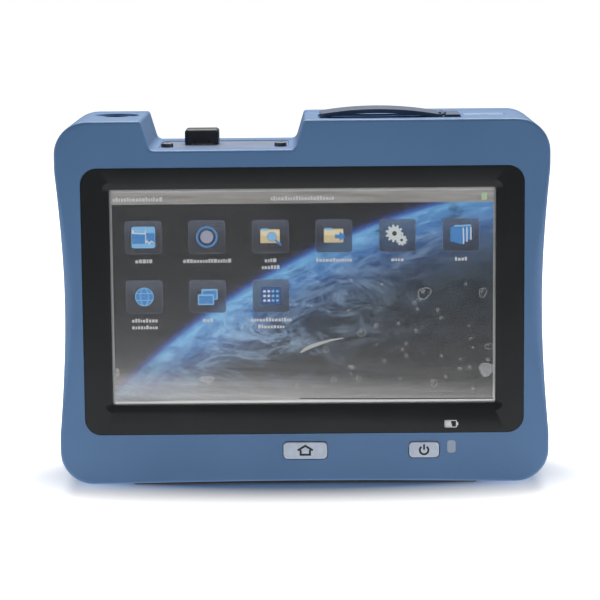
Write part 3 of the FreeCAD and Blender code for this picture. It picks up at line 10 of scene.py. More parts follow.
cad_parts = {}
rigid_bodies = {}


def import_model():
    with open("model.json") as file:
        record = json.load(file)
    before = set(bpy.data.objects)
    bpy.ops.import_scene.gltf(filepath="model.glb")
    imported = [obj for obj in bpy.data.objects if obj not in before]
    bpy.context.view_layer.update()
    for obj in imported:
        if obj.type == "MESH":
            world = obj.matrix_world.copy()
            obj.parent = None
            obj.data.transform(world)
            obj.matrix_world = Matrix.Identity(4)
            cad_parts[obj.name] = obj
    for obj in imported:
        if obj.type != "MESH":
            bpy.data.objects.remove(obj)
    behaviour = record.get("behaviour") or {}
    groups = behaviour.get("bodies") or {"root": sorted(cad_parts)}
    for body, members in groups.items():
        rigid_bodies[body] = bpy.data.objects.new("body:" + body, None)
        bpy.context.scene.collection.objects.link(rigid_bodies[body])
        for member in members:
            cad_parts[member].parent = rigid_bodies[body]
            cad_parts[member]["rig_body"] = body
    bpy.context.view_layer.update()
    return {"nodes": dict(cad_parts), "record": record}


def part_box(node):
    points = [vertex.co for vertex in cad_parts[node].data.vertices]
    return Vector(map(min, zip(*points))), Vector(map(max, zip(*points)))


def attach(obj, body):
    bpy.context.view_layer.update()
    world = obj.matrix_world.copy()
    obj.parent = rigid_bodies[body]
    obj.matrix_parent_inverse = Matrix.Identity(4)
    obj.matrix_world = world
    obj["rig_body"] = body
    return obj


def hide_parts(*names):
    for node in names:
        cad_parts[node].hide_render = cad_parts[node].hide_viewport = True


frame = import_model()

# ------------ housing shells
# Two shells of a polycarbonate blend, dyed blue and injection moulded in spark-eroded steel tools. The eroded
# skin is satin, with a grain of a few tenths of a millimetre that softens every highlight.
MM = 0.001
SHELL_BLUE = "#5b84b3"
SHELL_BLUE_DEEP = "#567fae"
SHELL_GRAIN = 0.55  # real grain is 0.2 mm; drawn coarser so that it shows
SHELL_GRAIN_DEPTH = 0.010
MOTTLE_LEVELS = (0.35, 0.65)  # noise levels at which a mottle is fully dark and fully light
JOIN_WITHIN = 0.001  # mm; corners of triangles nearer than this are one corner
CORNER_CENTRE = (80.8, 21.4, 132.0)  # x, lower z and upper z of the solid's corner arcs
CORNER_WIDE, CORNER_TIGHT = 19.0, 13.5  # their radius on the solid, and on the real housing
BLEND_START, BLEND_SPAN = 0.3, 0.5  # shares of the wide radius from which, and over which, points move

slots = {part["node"]: part["material_slot"] for part in frame["record"]["subparts"]}


def linear(hex_colour):
    """sRGB hex text to linear colour: s / 12.92 below 0.04045, else ((s + 0.055) / 1.055) ** 2.4; alpha 1."""
    srgb = np.array([int(hex_colour[i:i + 2], 16) for i in (1, 3, 5)]) / 255
    rgb = np.where(srgb <= 0.04045, srgb / 12.92, ((srgb + 0.055) / 1.055) ** 2.4)
    return (*rgb.tolist(), 1.0)


def add_node(tree, kind, inputs=None, **settings):
    """Adds a node, sets its properties, and sets or links its inputs by name or number. A node that is given
    for an input stands for its own first output."""
    node = tree.nodes.new(kind)
    for name, value in settings.items():
        setattr(node, name, value)
    for name, value in (inputs or {}).items():
        if isinstance(value, bpy.types.Node):
            value = value.outputs[0]
        if isinstance(value, bpy.types.NodeSocket):
            tree.links.new(value, node.inputs[name])
        else:
            node.inputs[name].default_value = value
    return node


def new_finish(name, colour, roughness, **constants):
    """A Principled finish with its constants on the shader's own sockets; gives material, tree and shader."""
    material = bpy.data.materials.new(name)
    material.use_nodes = True
    tree = material.node_tree
    shader = tree.nodes["Principled BSDF"]
    shader.inputs["Base Color"].default_value = linear(colour)
    shader.inputs["Roughness"].default_value = roughness
    for socket, value in constants.items():
        shader.inputs[socket.replace("_", " ")].default_value = value
    return material, tree, shader


def give_grain(tree, shader, size, depth, stretch=(1, 1, 1)):
    """Bump of noise in cells of size mm that stand depth mm; stretch divides the cells along X, Y and Z."""
    place = add_node(tree, "ShaderNodeTexCoord")
    turned = add_node(tree, "ShaderNodeMapping", {"Vector": place.outputs["Object"], "Scale": stretch})
    noise = add_node(tree, "ShaderNodeTexNoise", {"Vector": turned, "Scale": 1 / (size * MM), "Detail": 3.0})
    bump = add_node(tree, "ShaderNodeBump", {"Height": noise, "Distance": depth * MM})
    tree.links.new(bump.outputs["Normal"], shader.inputs["Normal"])
    return turned


def give_mottle(tree, shader, place, dark, light, size, socket="Base Color"):
    """Colour that drifts from dark to light over noise cells of size mm, between the two mottle levels."""
    noise = add_node(tree, "ShaderNodeTexNoise", {"Vector": place, "Scale": 1 / (size * MM), "Detail": 2.0})
    ramp = add_node(tree, "ShaderNodeValToRGB", {"Fac": noise})
    low, high = ramp.color_ramp.elements
    low.position, high.position = MOTTLE_LEVELS
    low.color, high.color = linear(dark), linear(light)
    tree.links.new(ramp.outputs["Color"], shader.inputs[socket])


def surface(name, points, faces, material, body, soft_below=None):
    """A mesh on whole arrays of metres, riding on a body; edges under soft_below degrees are shaded soft."""
    mesh = bpy.data.meshes.new(name)
    mesh.from_pydata(points, [], faces)
    mesh.materials.append(material)
    if soft_below is not None:
        mesh.shade_smooth()
        mesh.set_sharp_from_angle(angle=math.radians(soft_below))
    piece = bpy.data.objects.new(name, mesh)
    bpy.context.scene.collection.objects.link(piece)
    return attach(piece, body)


def filled_corner(points):
    """The outline's corners, tightened from the wide to the tight arc. Seen from a wide arc's centre, a point
    moves out by (reach of the tight outline / wide radius - 1), times w (3 - 2 w) w, where w grows from 0
    to 1 as radius / wide radius runs over the blend's span. The tight outline is a flat at the wide radius,
    or an arc of the tight radius about (wide - tight, wide - tight)."""
    middle_x, low_z, high_z = (value * MM for value in CORNER_CENTRE)
    wide, tight = CORNER_WIDE * MM, CORNER_TIGHT * MM
    inset = wide - tight
    across = np.abs(points[:, 0]) - middle_x
    above = np.maximum(points[:, 2] - high_z, low_z - points[:, 2])
    inside = (across > 0) & (above > 0)
    u, v = np.where(inside, across, wide), np.where(inside, above, wide)
    radius = np.hypot(u, v)
    c, s = u / radius, v / radius
    arc = inset * (c + s) + np.sqrt(np.maximum((inset * (c + s)) ** 2 - 2 * inset ** 2 + tight ** 2, 0))
    flat = wide / np.maximum(c, s)
    reach = np.where(flat * np.minimum(c, s) < inset, flat, arc)
    share = np.clip((radius / wide - BLEND_START) / BLEND_SPAN, 0, 1)
    grown = np.where(inside, 1 + (reach / wide - 1) * share ** 2 * (3 - 2 * share), 1)
    moved = points.copy()
    moved[:, 0] += np.sign(points[:, 0]) * np.where(inside, u * (grown - 1), 0)
    moved[:, 2] += np.where(points[:, 2] > high_z, 1, -1) * np.where(inside, v * (grown - 1), 0)
    return moved


def dressed(node, material, soft_below=30, shaped=None):
    """Skin of a node in its place: equal corners of its triangles joined, the points moved by shaped where it
    is given, and the rounded edges shaded soft."""
    source = frame["nodes"][node]
    points = np.empty(3 * len(source.data.vertices), np.float32)
    corners = np.empty(len(source.data.loops), np.int32)
    source.data.vertices.foreach_get("co", points)
    source.data.loops.foreach_get("vertex_index", corners)
    cells = np.round(points.reshape(-1, 3) / (JOIN_WITHIN * MM)).astype(np.int64)
    _, first, joined = np.unique(cells, axis=0, return_index=True, return_inverse=True)
    faces = joined.ravel()[corners].reshape(-1, 3)
    whole = (faces != np.roll(faces, 1, axis=1)).all(axis=1)
    points = points.reshape(-1, 3)[first]
    skin = surface(node + "_skin", shaped(points) if shaped else points, faces[whole], material,
                   source["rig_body"], soft_below)
    even = skin.modifiers.new("even_normals", "WEIGHTED_NORMAL")
    even.keep_sharp = True
    even.weight = 100
    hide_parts(node)
    return skin


shell_plastic, tree, shader = new_finish("spark_grained_polycarbonate_blue", SHELL_BLUE, 0.40, IOR=1.5)
place = give_grain(tree, shader, SHELL_GRAIN, SHELL_GRAIN_DEPTH)
give_mottle(tree, shader, place, SHELL_BLUE_DEEP, SHELL_BLUE, 40)
for node in ("front_shell", "rear_shell"):
    dressed(node, shell_plastic, shaped=filled_corner)

# ------------ case seal and case screws
# A silicone cord lies in the parting groove and shows as a thin dark line. Four blued steel screws pull the
# rear shell on from behind; their heads are turned, so they glint in fine rings.
seal_rubber, tree, shader = new_finish("silicone_cord_black", "#1b1e21", 0.62)
give_grain(tree, shader, 0.8, 0.008)
dressed("case_seal", seal_rubber, shaped=filled_corner)

screw_steel, tree, shader = new_finish("blued_steel_turned", "#55585c", 0.34, Metallic=1.0)
give_grain(tree, shader, 0.4, 0.006)
for node in slots:
    if node.startswith(("case_screw", "door_screw")):
        dressed(node, screw_steel)

# ------------ feet and back strips
# Moulded strips of soft elastomer, pressed into seats in the shells. Soft rubber is matt, with a faint bloom
# of lighter dust in its grain.
foot_rubber, tree, shader = new_finish("moulded_elastomer_black", "#1e2023", 0.68)
place = give_grain(tree, shader, 0.7, 0.02)
give_mottle(tree, shader, place, "#1a1c1e", "#242629", 9)
for node in ("foot_front", "foot_rear", "rear_strip_left", "rear_strip_right"):
    dressed(node, foot_rubber)

# ------------ screen frame
# A trim frame of black polycarbonate with a satin-gloss face and a bevelled window, glued into the front
# shell. A small white battery sign is screen printed under the window.
BATTERY_SIGN = (59.7, 26.6)
BATTERY_SIGN_SIZE = (4.7, 2.7)
BATTERY_ROUNDING, BATTERY_LINE = 0.3, 0.35
BATTERY_CHARGE = 0.14  # how far past the middle the lower edge of the charge reaches, over the width
BATTERY_POLE = (0.5, 1.3)  # width and height of the pole
BATTERY_POLE_STEP = 0.45  # from the cell's end to the pole's middle
PRINT_LIFT = 0.02  # thickness of a layer of ink
MITRE_LEAST = 0.3  # a sharp corner of a stroke is mitred as if its cosine were no less than this


def rounded_loop(centre, size, radius, count=32):
    """Rounded rectangle: the corner centre by the signs of cos t and sin t, plus radius (cos t, sin t)."""
    t = (np.arange(count) + 0.5) * 2 * np.pi / count
    turn = np.stack([np.cos(t), np.sin(t)], axis=1)
    return np.asarray(centre) + np.sign(turn) * (np.asarray(size) / 2 - radius) + radius * turn


def faced_out(points, faces):
    """The same faces, turned over if the signed volume, the sum of a . (b x c) / 6, comes out negative."""
    fans = np.concatenate([np.stack([faces[:, 0], faces[:, i], faces[:, i + 1]], axis=1)
                           for i in range(1, faces.shape[1] - 1)])
    a, b, c = points[fans[:, 0]], points[fans[:, 1]], points[fans[:, 2]]
    return faces if np.einsum("ij,ij->", a, np.cross(b, c)) > 0 else faces[:, ::-1]


def lofted(rings, closed=False):
    """Skin over rings of equal count, ring i to i + 1 around and along. It wraps from the last ring to the
    first when closed; otherwise each end ring runs in to a ring of its own middle point."""
    rings = np.asarray(rings, float)
    if not closed:
        middle = rings.mean(axis=1, keepdims=True)
        ends = [np.broadcast_to(middle[i], rings[i].shape) for i in (0, -1)]
        rings = np.concatenate([ends[:1], rings, ends[1:]])
    count, around = rings.shape[:2]
    i, j = np.meshgrid(np.arange(count if closed else count - 1), np.arange(around), indexing="ij")
    following, beside = (i + 1) % count, (j + 1) % around
    faces = np.stack([i * around + j, following * around + j,
                      following * around + beside, i * around + beside], axis=-1).reshape(-1, 4)
    points = rings.reshape(-1, 3)
    return points, faced_out(points - points.mean(axis=0), faces)


def upright(loop, y):
    """Points (x, z) of a loop, stood up in the plane at y."""
    return np.stack([loop[:, 0], np.full(len(loop), y), loop[:, 1]], axis=1)


def plate(loop, y, thickness):
    """Flat plate: the loop at its face y, and the same loop one thickness behind."""
    return lofted([upright(loop, y), upright(loop, y + thickness)])


def band(left, right, y, thickness, closed=False):
    """Flat strip between two lines of points (x, z)."""
    section = [upright(left, y), upright(right, y),
               upright(right, y + thickness), upright(left, y + thickness)]
    return lofted(np.stack(section, axis=1), closed)


def stroke(path, width, y, thickness, closed=False):
    """Band along a path (x, z): at each point an oblong section across the path, mitred at its corners.
    The section stands out by width / 2 along the mean normal, over the cosine of half the turn."""
    path = np.asarray(path, float)
    step = np.roll(path, -1, axis=0) - path
    step /= np.maximum(np.linalg.norm(step, axis=1, keepdims=True), 1e-9)
    before = np.roll(step, 1, axis=0)
    if not closed:
        step[-1], before[0] = step[-2], step[0]
    normal = np.stack([-(step + before)[:, 1], (step + before)[:, 0]], axis=1)
    normal /= np.linalg.norm(normal, axis=1, keepdims=True)
    cosine = np.abs(normal[:, 0] * -step[:, 1] + normal[:, 1] * step[:, 0])
    reach = width / 2 / np.maximum(cosine, MITRE_LEAST)
    return band(path + normal * reach[:, None], path - normal * reach[:, None], y, thickness, closed)


def printed(name, parts, material, body, soft_below=None):
    """One piece from several skins in millimetres, as a layer of ink, film or metal on a body."""
    starts = np.cumsum([0] + [len(points) for points, _ in parts[:-1]])
    points = np.concatenate([points for points, _ in parts]) * MM
    faces = np.concatenate([faces + start for (_, faces), start in zip(parts, starts)])
    points, joined = np.unique(np.round(points, 8), axis=0, return_inverse=True)
    faces = joined.ravel()[faces]
    loops = [list(dict.fromkeys(face)) for face in faces.tolist()]
    piece = surface(name, points, [loop for loop in loops if len(loop) > 2], material, body, soft_below)
    return piece


frame_plastic, tree, shader = new_finish("polycarbonate_black_satin_gloss", "#161b1f", 0.22, IOR=1.36)
place = give_grain(tree, shader, 1.2, 0.0012)
give_mottle(tree, shader, place, "#161a1d", "#1c2023", 30)
dressed("bezel", frame_plastic)

white_ink, tree, shader = new_finish("screen_print_white", "#f4f6f7", 0.5)
give_grain(tree, shader, 0.3, 0.004)
face_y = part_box("bezel")[0].y / MM - PRINT_LIFT
x, z = BATTERY_SIGN
w, h = BATTERY_SIGN_SIZE
cell = rounded_loop((x, z), (w, h), BATTERY_ROUNDING)
charge = np.array([(x - w / 2, z - h / 2), (x + BATTERY_CHARGE * w, z - h / 2), (x, z + h / 2),
                   (x - w / 2, z + h / 2)])
pole = rounded_loop((x + w / 2 + BATTERY_POLE_STEP, z), BATTERY_POLE, 0.1)
printed("battery_sign", [stroke(cell, BATTERY_LINE, face_y, PRINT_LIFT, closed=True),
                         plate(charge, face_y, PRINT_LIFT), plate(pole, face_y, PRINT_LIFT)],
        white_ink, "case")

# ------------ touch panel and its film
# A sheet of clear glass over the display, and on it the thin transport film that nobody has peeled off. The
# grey veil of light that the film scatters is painted on it as a faint glow, fixed to it by place whatever
# the lamps do. Under the film lie trapped bubbles, a long crease and a lifted strip along its foot; their
# glints are painted highlights of pale film, and the shade along the fold is a painted dark strip.
# Larger bubbles are (x, z, radius), and patches (x, z, half width, half height).
BUBBLES = ((49.1, 80.3, 2.4), (72.8, 80.4, 1.6), (23.7, 64.3, 1.5), (9.0, 57.7, 1.2), (12.0, 44.9, 1.0),
           (22.2, 45.2, 1.0), (52.9, 43.4, 1.4), (75.3, 58.4, 1.4), (-2.7, 42.6, 1.0), (46.7, 77.6, 0.8))
BUBBLE_PATCHES = ((-39.5, 45.6, 3.4, 1.5), (74.2, 48.8, 3.0, 2.9), (-76.0, 48.8, 0.9, 1.8))
SMALL_BUBBLES, SMALL_BUBBLE_SEED = 34, 5
SMALL_BUBBLE_X, SMALL_BUBBLE_Z, SMALL_BUBBLE_RADIUS = (16, 75), (38, 48, 98), (0.25, 0.7)
BUBBLE_RISE = 0.04
BUBBLE_WAVES = (0.16, 0.07, 0.1)  # of a rim, twice and three times round, and of a patch
CREASE = ((-1.4, 56.3), (0.6, 57.7), (2.6, 58.7), (6.7, 60.1), (11.1, 61.3), (16.2, 62.2))
CREASE_WIDTHS = (0.4, 1.3, 1.5, 1.2, 0.8, 0.3)
CREASE_ACROSS = (-0.35, 1.0)
# The film's foot: the first line is drawn as a painted glint, the second as a painted shade strip.
FOOT_LINES = (((-76.8, 36.1), (-50.0, 36.7), (0.0, 36.7), (30.0, 36.4)),
              ((-2.0, 37.3), (30.0, 37.0), (77.3, 36.8)))
FOOT_LINE_WIDTH = 0.4
SOFT_FILM = 50  # degrees
VEIL_X = -74.0  # where across the screen the veil's levels (z, level) are given
VEIL_TILT = 0.053  # how much lower they lie for each mm to the right
VEIL_LEVELS = ((36, 0.188), (38.5, 0.230), (41, 0.246), (43, 0.228), (45, 0.185), (47, 0.138), (49, 0.095),
               (52, 0.057), (60, 0.030), (68, 0.016), (76, 0.010), (84, 0.006), (92, 0.003), (104, 0.001),
               (116, 0.0))
VEIL_LEFT, VEIL_LEFT_XS = 0.009, (-4, -16)  # more of it to the left
VEIL_RIM, VEIL_RIM_ZS = 0.09, (121.9, 122.3)  # and above the lit area, along the film's pinked edge
VEIL_STREAK, VEIL_STREAK_THIN = 28.0, 14  # length of its streaks, and their length over their height
VEIL_STREAK_SHARES = (0.88, 1.12)

# An antiglare coat mirrors less than bare glass, whose IOR is 1.5.
touch_glass, tree, shader = new_finish("float_glass_coated", "#ffffff", 0.02, IOR=1.2,
                                       Transmission_Weight=1.0)
give_grain(tree, shader, 60, 0.01)
frame["nodes"]["touch_panel"].data.materials.clear()
frame["nodes"]["touch_panel"].data.materials.append(touch_glass)

clear_film, tree, shader = new_finish("polyester_film_hazed", "#c9cacc", 0.30, IOR=1.5, Alpha=0.03)
place = give_grain(tree, shader, 5, 0.006)
spot = add_node(tree, "ShaderNodeSeparateXYZ", {0: place})
tilted = add_node(tree, "ShaderNodeMath", {0: spot.outputs["X"], 1: VEIL_TILT, 2: spot.outputs["Z"]},
                  operation="MULTIPLY_ADD")
low_z, high_z = VEIL_LEVELS[0][0], VEIL_LEVELS[-1][0]
height = add_node(tree, "ShaderNodeMapRange", {"Value": tilted,
                                               "From Min": (low_z + VEIL_X * VEIL_TILT) * MM,
                                               "From Max": (high_z + VEIL_X * VEIL_TILT) * MM})
levels = add_node(tree, "ShaderNodeValToRGB", {"Fac": height})
for z, level in VEIL_LEVELS[1:-1]:
    levels.color_ramp.elements.new((z - low_z) / (high_z - low_z)).color = (level, level, level, 1)
for end in (0, -1):
    level = VEIL_LEVELS[end][1]
    levels.color_ramp.elements[end].color = (level, level, level, 1)
leftward = add_node(tree, "ShaderNodeMapRange", {"Value": spot.outputs["X"], "From Min": VEIL_LEFT_XS[0] * MM,
                                                 "From Max": VEIL_LEFT_XS[1] * MM, "To Max": VEIL_LEFT})
drawn = add_node(tree, "ShaderNodeMapping", {"Vector": place, "Scale": (1, 1, VEIL_STREAK_THIN)})
streak = add_node(tree, "ShaderNodeTexNoise", {"Vector": drawn, "Scale": 1 / (VEIL_STREAK * MM),
                                               "Detail": 4.0})
uneven = add_node(tree, "ShaderNodeMapRange", {"Value": streak, "From Min": 0.3, "From Max": 0.7,
                                               "To Min": VEIL_STREAK_SHARES[0],
                                               "To Max": VEIL_STREAK_SHARES[1]})
rim = add_node(tree, "ShaderNodeMapRange", {"Value": spot.outputs["Z"], "From Min": VEIL_RIM_ZS[0] * MM,
                                            "From Max": VEIL_RIM_ZS[1] * MM, "To Max": VEIL_RIM})
veil = add_node(tree, "ShaderNodeMath", {0: levels, 1: leftward}, operation="ADD")
veil = add_node(tree, "ShaderNodeMath", {0: veil, 1: rim}, operation="ADD")
veil = add_node(tree, "ShaderNodeMath", {0: veil, 1: uneven}, operation="MULTIPLY")
each_face = add_node(tree, "ShaderNodeMath", {0: veil, 1: 0.5}, operation="MULTIPLY")
# Painted light: the veil is a glow laid on the film by place, standing in for lamp light that the film
# scatters.
painted_veil_glow = add_node(tree, "ShaderNodeEmission", {"Color": linear("#fdfcfb"), "Strength": each_face})
haze_and_painted_veil = add_node(tree, "ShaderNodeAddShader", {0: shader, 1: painted_veil_glow})
tree.links.new(haze_and_painted_veil.outputs[0], tree.nodes["Material Output"].inputs["Surface"])
dressed("screen_film", clear_film)

# Pale films laid over the screen, each a painted glint: of lifted bubbles, of the crease, and of pocks.
painted_glint_films = {"lifted_painted_glint": ("#f1f2f4", 0.16), "creased_painted_glint": ("#ffffff", 0.45), "pocked_painted_glint": ("#f6f7f9", 0.22)}
for state, (tint, alpha) in painted_glint_films.items():
    painted_glint_films[state], tree, shader = new_finish("polyester_film_" + state, tint, 0.45, IOR=1.3, Alpha=alpha)
    give_grain(tree, shader, 1.0, 0.004)
film_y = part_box("screen_film")[0].y / MM
raised_y = film_y - BUBBLE_RISE
turn = np.linspace(0, 2 * np.pi, 24, endpoint=False)


def blister(x, z, wide, high):
    """A bubble under the film: a raised rim about an oval that swells by cosines of twice and three times the
    angle, and off its middle a painted highlight, a flat lens of the same oval at 0.35 of its size. Rim and
    lens are pale film, so both show as painted glints."""
    wobble = 1 + BUBBLE_WAVES[0] * np.cos(2 * turn + x) + BUBBLE_WAVES[1] * np.cos(3 * turn + z)
    rim = np.stack([wide * np.cos(turn), high * np.sin(turn)], axis=1) * wobble[:, None]
    lens = np.array((x - 0.2 * wide, z + 0.3 * high)) + 0.35 * rim
    return [stroke(np.array((x, z)) + rim, 0.16 * high + 0.16, raised_y, BUBBLE_RISE, closed=True),
            plate(lens, raised_y, BUBBLE_RISE)]


# Painted glints of the larger bubbles.
bubbles = [part for x, z, radius in BUBBLES for part in blister(x, z, radius, radius)]
printed("film_bubble_painted_glints", bubbles, painted_glint_films["lifted_painted_glint"], "case", soft_below=SOFT_FILM)
# Painted glints: a pale ribbon along the crease, and a pale line along the film's foot.
line, half = np.array(CREASE), np.array(CREASE_WIDTHS)[:, None] / 2 * np.array(CREASE_ACROSS)
printed("film_painted_glints", [band(line + half, line - half, raised_y, BUBBLE_RISE),
                        stroke(FOOT_LINES[0], FOOT_LINE_WIDTH, raised_y, BUBBLE_RISE)],
        painted_glint_films["creased_painted_glint"], "case", soft_below=SOFT_FILM)
# Painted glints of patches and small bubbles; where two layers overlap they are brighter.
specks = []
for x, z, wide, high in BUBBLE_PATCHES:
    wobble = (1 + BUBBLE_WAVES[2] * np.cos(3 * turn + x))[:, None]
    patch = np.stack([wide * np.cos(turn), high * np.sin(turn)], axis=1) * wobble
    specks += [plate(np.array((x, z)) + patch * share, raised_y, BUBBLE_RISE) for share in (1.0, 0.6)]
chance = np.random.default_rng(SMALL_BUBBLE_SEED)
xs = chance.uniform(*SMALL_BUBBLE_X, SMALL_BUBBLES)
zs = chance.triangular(*SMALL_BUBBLE_Z, SMALL_BUBBLES)
radii = chance.uniform(*SMALL_BUBBLE_RADIUS, SMALL_BUBBLES)
for x, z, radius in zip(xs, zs, radii):
    specks += blister(x, z, radius, radius)
printed("film_speck_painted_glints", specks, painted_glint_films["pocked_painted_glint"], "case", soft_below=SOFT_FILM)
# Painted shade: a dark film strip along the second foot line, standing for the shade under the fold.
painted_fold_shade, tree, shader = new_finish("polyester_film_fold_shade", "#26282a", 0.5, Alpha=0.75)
give_grain(tree, shader, 4, 0.01)
printed("film_fold", [stroke(FOOT_LINES[1], FOOT_LINE_WIDTH, raised_y, BUBBLE_RISE)],
        painted_fold_shade, "case", soft_below=SOFT_FILM)

# ------------ display
# A lit colour panel behind the glass; its dots are 0.19 mm apart, too fine to show. The menu is generic: a
# planet's limb under a status bar, and nine rounded tiles with plain signs and captions of small dashes.
LIT_AREA = (0.0, 79.2, 154.1, 85.9)  # centre x and z, width, height
PICTURE_Y = -30.32  # one layer behind the next, from the picture forward
LAYER = 0.04
THIN = LAYER / 4  # thickness of a lit shape
BAR_HEIGHT = 5.0
BAR_WORDS = ((-66.6, 20.0, 20), (0.0, 25.5, 30))  # middle, length and seed
BAR_WORD_DROP, BAR_WORD_HEIGHT = 2.9, 1.7
CHARGE_SIGN, CHARGE_SIGN_SIZE = (73.4, 2.7), (2.2, 2.9)  # x and drop below the top
LIMB_CENTRE = (129.4, -163.5)
LIMB_RADIUS = 290.5
LIMB_TINTS = ((-80, "#101418"), (-60, "#14191e"), (-45, "#1a2128"), (-32, "#212d38"), (-23, "#293b56"),
              (-15, "#2f4c7a"), (-10, "#3c6aa4"), (-6, "#4678ae"), (-3.5, "#548abd"), (-2, "#588ec0"),
              (-1.2, "#4070b0"), (-0.5, "#365294"), (0.3, "#2c3d74"), (1.0, "#252e4c"), (2.0, "#20242e"),
              (4.0, "#1c1e22"), (20, "#191b1e"))
CLOUD_TINTS = ((-70, "#69727d"), (-40, "#7f8fa6"), (-22, "#8fabc8"), (-8, "#86b4d8"), (0, "#7cbce4"))
STREAK_CELL, STREAK_THIN = 13.0, 4.0  # cloud streaks along the limb: length, and length over height
CLUMP_CELL, CLUMP_THIN, CLUMP_TURN = 21.0, 2.1, -22  # cloud clumps below it, laid over by degrees
TILE = (14.7, 13.3)
TILE_XS = (-64.5, -38.8, -13.1, 12.6, 38.3, 64.0)
TILE_ROWS = (103.8, 79.5)
TILE_TINTS = ("#2c2f36", "#333743", "#525868")
TILE_RIM = 0.22
CORNERS = 1.3  # rounding of a tile
CAPTIONS = ((6.8,), (19.4,), (4.7, 7.2), (14.4,), (5.0,), (4.9,), (10.4, 10.4), (4.2,), (16.4, 10.6))
CAPTION_DROP, CAPTION_PITCH, CAPTION_HEIGHT = 3.1, 2.8, 1.6
DASH_WIDTHS, DASH_GAP, DASH_PITCH = (0.55, 1.15), 0.3, 1.15
DASH_HEIGHTS = (0.72, 0.78, 1.0)  # over the height of the row


def lit(name, colour, strength=1.0, **constants):
    """A lit colour of the panel: a black base that emits the colour as it is seen."""
    material, tree, shader = new_finish(name, "#050505", 0.4, Emission_Strength=strength,
                                        Specular_IOR_Level=0.0, **constants)
    shader.inputs["Emission Color"].default_value = linear(colour)
    return material, tree, shader


def tinted(tree, value, stops):
    """Ramp of tints over a value that runs from the first stop's place to the last one's."""
    first, last = stops[0][0], stops[-1][0]
    spread = add_node(tree, "ShaderNodeMapRange", {"Value": value, "From Min": first * MM,
                                                   "From Max": last * MM})
    ramp = add_node(tree, "ShaderNodeValToRGB", {"Fac": spread})
    for spot, tint in stops[1:-1]:
        ramp.color_ramp.elements.new((spot - first) / (last - first)).color = linear(tint)
    ramp.color_ramp.elements[0].color = linear(stops[0][1])
    ramp.color_ramp.elements[-1].color = linear(stops[-1][1])
    return ramp.outputs["Color"]


lcd_steel, tree, shader = new_finish("stamped_tinplate_satin", "#9a9c9c", 0.38, Metallic=1.0)
give_grain(tree, shader, 1.5, 0.004, stretch=(1, 1, 8))
dressed("lcd_module", lcd_steel)

# The tint goes by the distance from the limb, and the clouds by that and by two noises.
panel_light, tree, shader = lit("display_planet_limb", "#202020")
place = add_node(tree, "ShaderNodeTexCoord")
centre = (LIMB_CENTRE[0] * MM, 0, LIMB_CENTRE[1] * MM)
spot = add_node(tree, "ShaderNodeSeparateXYZ", {0: place.outputs["Object"]})
offset = add_node(tree, "ShaderNodeVectorMath", {0: place.outputs["Object"], 1: centre}, operation="SUBTRACT")
flat = add_node(tree, "ShaderNodeVectorMath", {0: offset, 1: (1, 0, 1)}, operation="MULTIPLY")
reach = add_node(tree, "ShaderNodeVectorMath", {0: flat}, operation="LENGTH").outputs["Value"]
away = add_node(tree, "ShaderNodeMath", {0: reach, 1: LIMB_RADIUS * MM}, operation="SUBTRACT")
parts = add_node(tree, "ShaderNodeSeparateXYZ", {0: flat})
bearing = add_node(tree, "ShaderNodeMath", {0: parts.outputs["Z"], 1: parts.outputs["X"]},
                   operation="ARCTAN2")
along = add_node(tree, "ShaderNodeMath", {0: bearing, 1: LIMB_RADIUS * MM}, operation="MULTIPLY")
thinned = add_node(tree, "ShaderNodeMath", {0: away, 1: STREAK_THIN}, operation="MULTIPLY")
arcs = add_node(tree, "ShaderNodeCombineXYZ", {"X": along, "Y": thinned})
streaks = add_node(tree, "ShaderNodeTexNoise", {"Vector": arcs, "Scale": 1 / (STREAK_CELL * MM),
                                                "Detail": 9.0, "Roughness": 0.6, "Distortion": 0.5})
skewed = add_node(tree, "ShaderNodeMapping", {"Vector": flat, "Rotation": (0, math.radians(CLUMP_TURN), 0),
                                              "Scale": (1, 1, CLUMP_THIN)})
clumps = add_node(tree, "ShaderNodeTexNoise", {"Vector": skewed, "Scale": 1 / (CLUMP_CELL * MM),
                                               "Detail": 12.0, "Roughness": 0.76, "Distortion": 0.7})
# Each share: its value, the two ends that the value runs between, and the share at each end.
shares = {
    "leftward": (spot.outputs["X"], 52 * MM, -6 * MM, 0.10, 1.0),
    "high_band": (away, -30 * MM, -4 * MM, 0.0, 1.0),
    "deep_band": (away, -75 * MM, -22 * MM, 0.12, 1.0),
    "edge": (away, -0.8 * MM, -3.5 * MM, 0.0, 1.0),
    "low_fade": (spot.outputs["Z"], 37 * MM, 60 * MM, 0.10, 1.0),
    "streaks": (streaks, 0.46, 0.66, 0.0, 0.75),
    "clumps": (clumps, 0.47, 0.60, 0.0, 0.85),
    "hollows": (clumps, 0.34, 0.47, 0.7, 0.0),
}
for name, (value, low, high, to_low, to_high) in shares.items():
    shares[name] = add_node(tree, "ShaderNodeMapRange", {"Value": value, "From Min": low, "From Max": high,
                                                         "To Min": to_low, "To Max": to_high})
near = add_node(tree, "ShaderNodeMath", {0: shares["streaks"], 1: shares["high_band"]}, operation="MULTIPLY")
deep = add_node(tree, "ShaderNodeMath", {0: shares["clumps"], 1: shares["leftward"]}, operation="MULTIPLY")
deep = add_node(tree, "ShaderNodeMath", {0: deep, 1: shares["deep_band"]}, operation="MULTIPLY")
cover = add_node(tree, "ShaderNodeMath", {0: near, 1: deep}, operation="MAXIMUM")
cover = add_node(tree, "ShaderNodeMath", {0: cover, 1: shares["edge"]}, operation="MULTIPLY")
shade = add_node(tree, "ShaderNodeMath", {0: shares["hollows"], 1: shares["edge"]}, operation="MULTIPLY")
ground = add_node(tree, "ShaderNodeMix", {0: shade, 6: tinted(tree, away, LIMB_TINTS), 7: linear("#0f151d")},
                  data_type="RGBA")
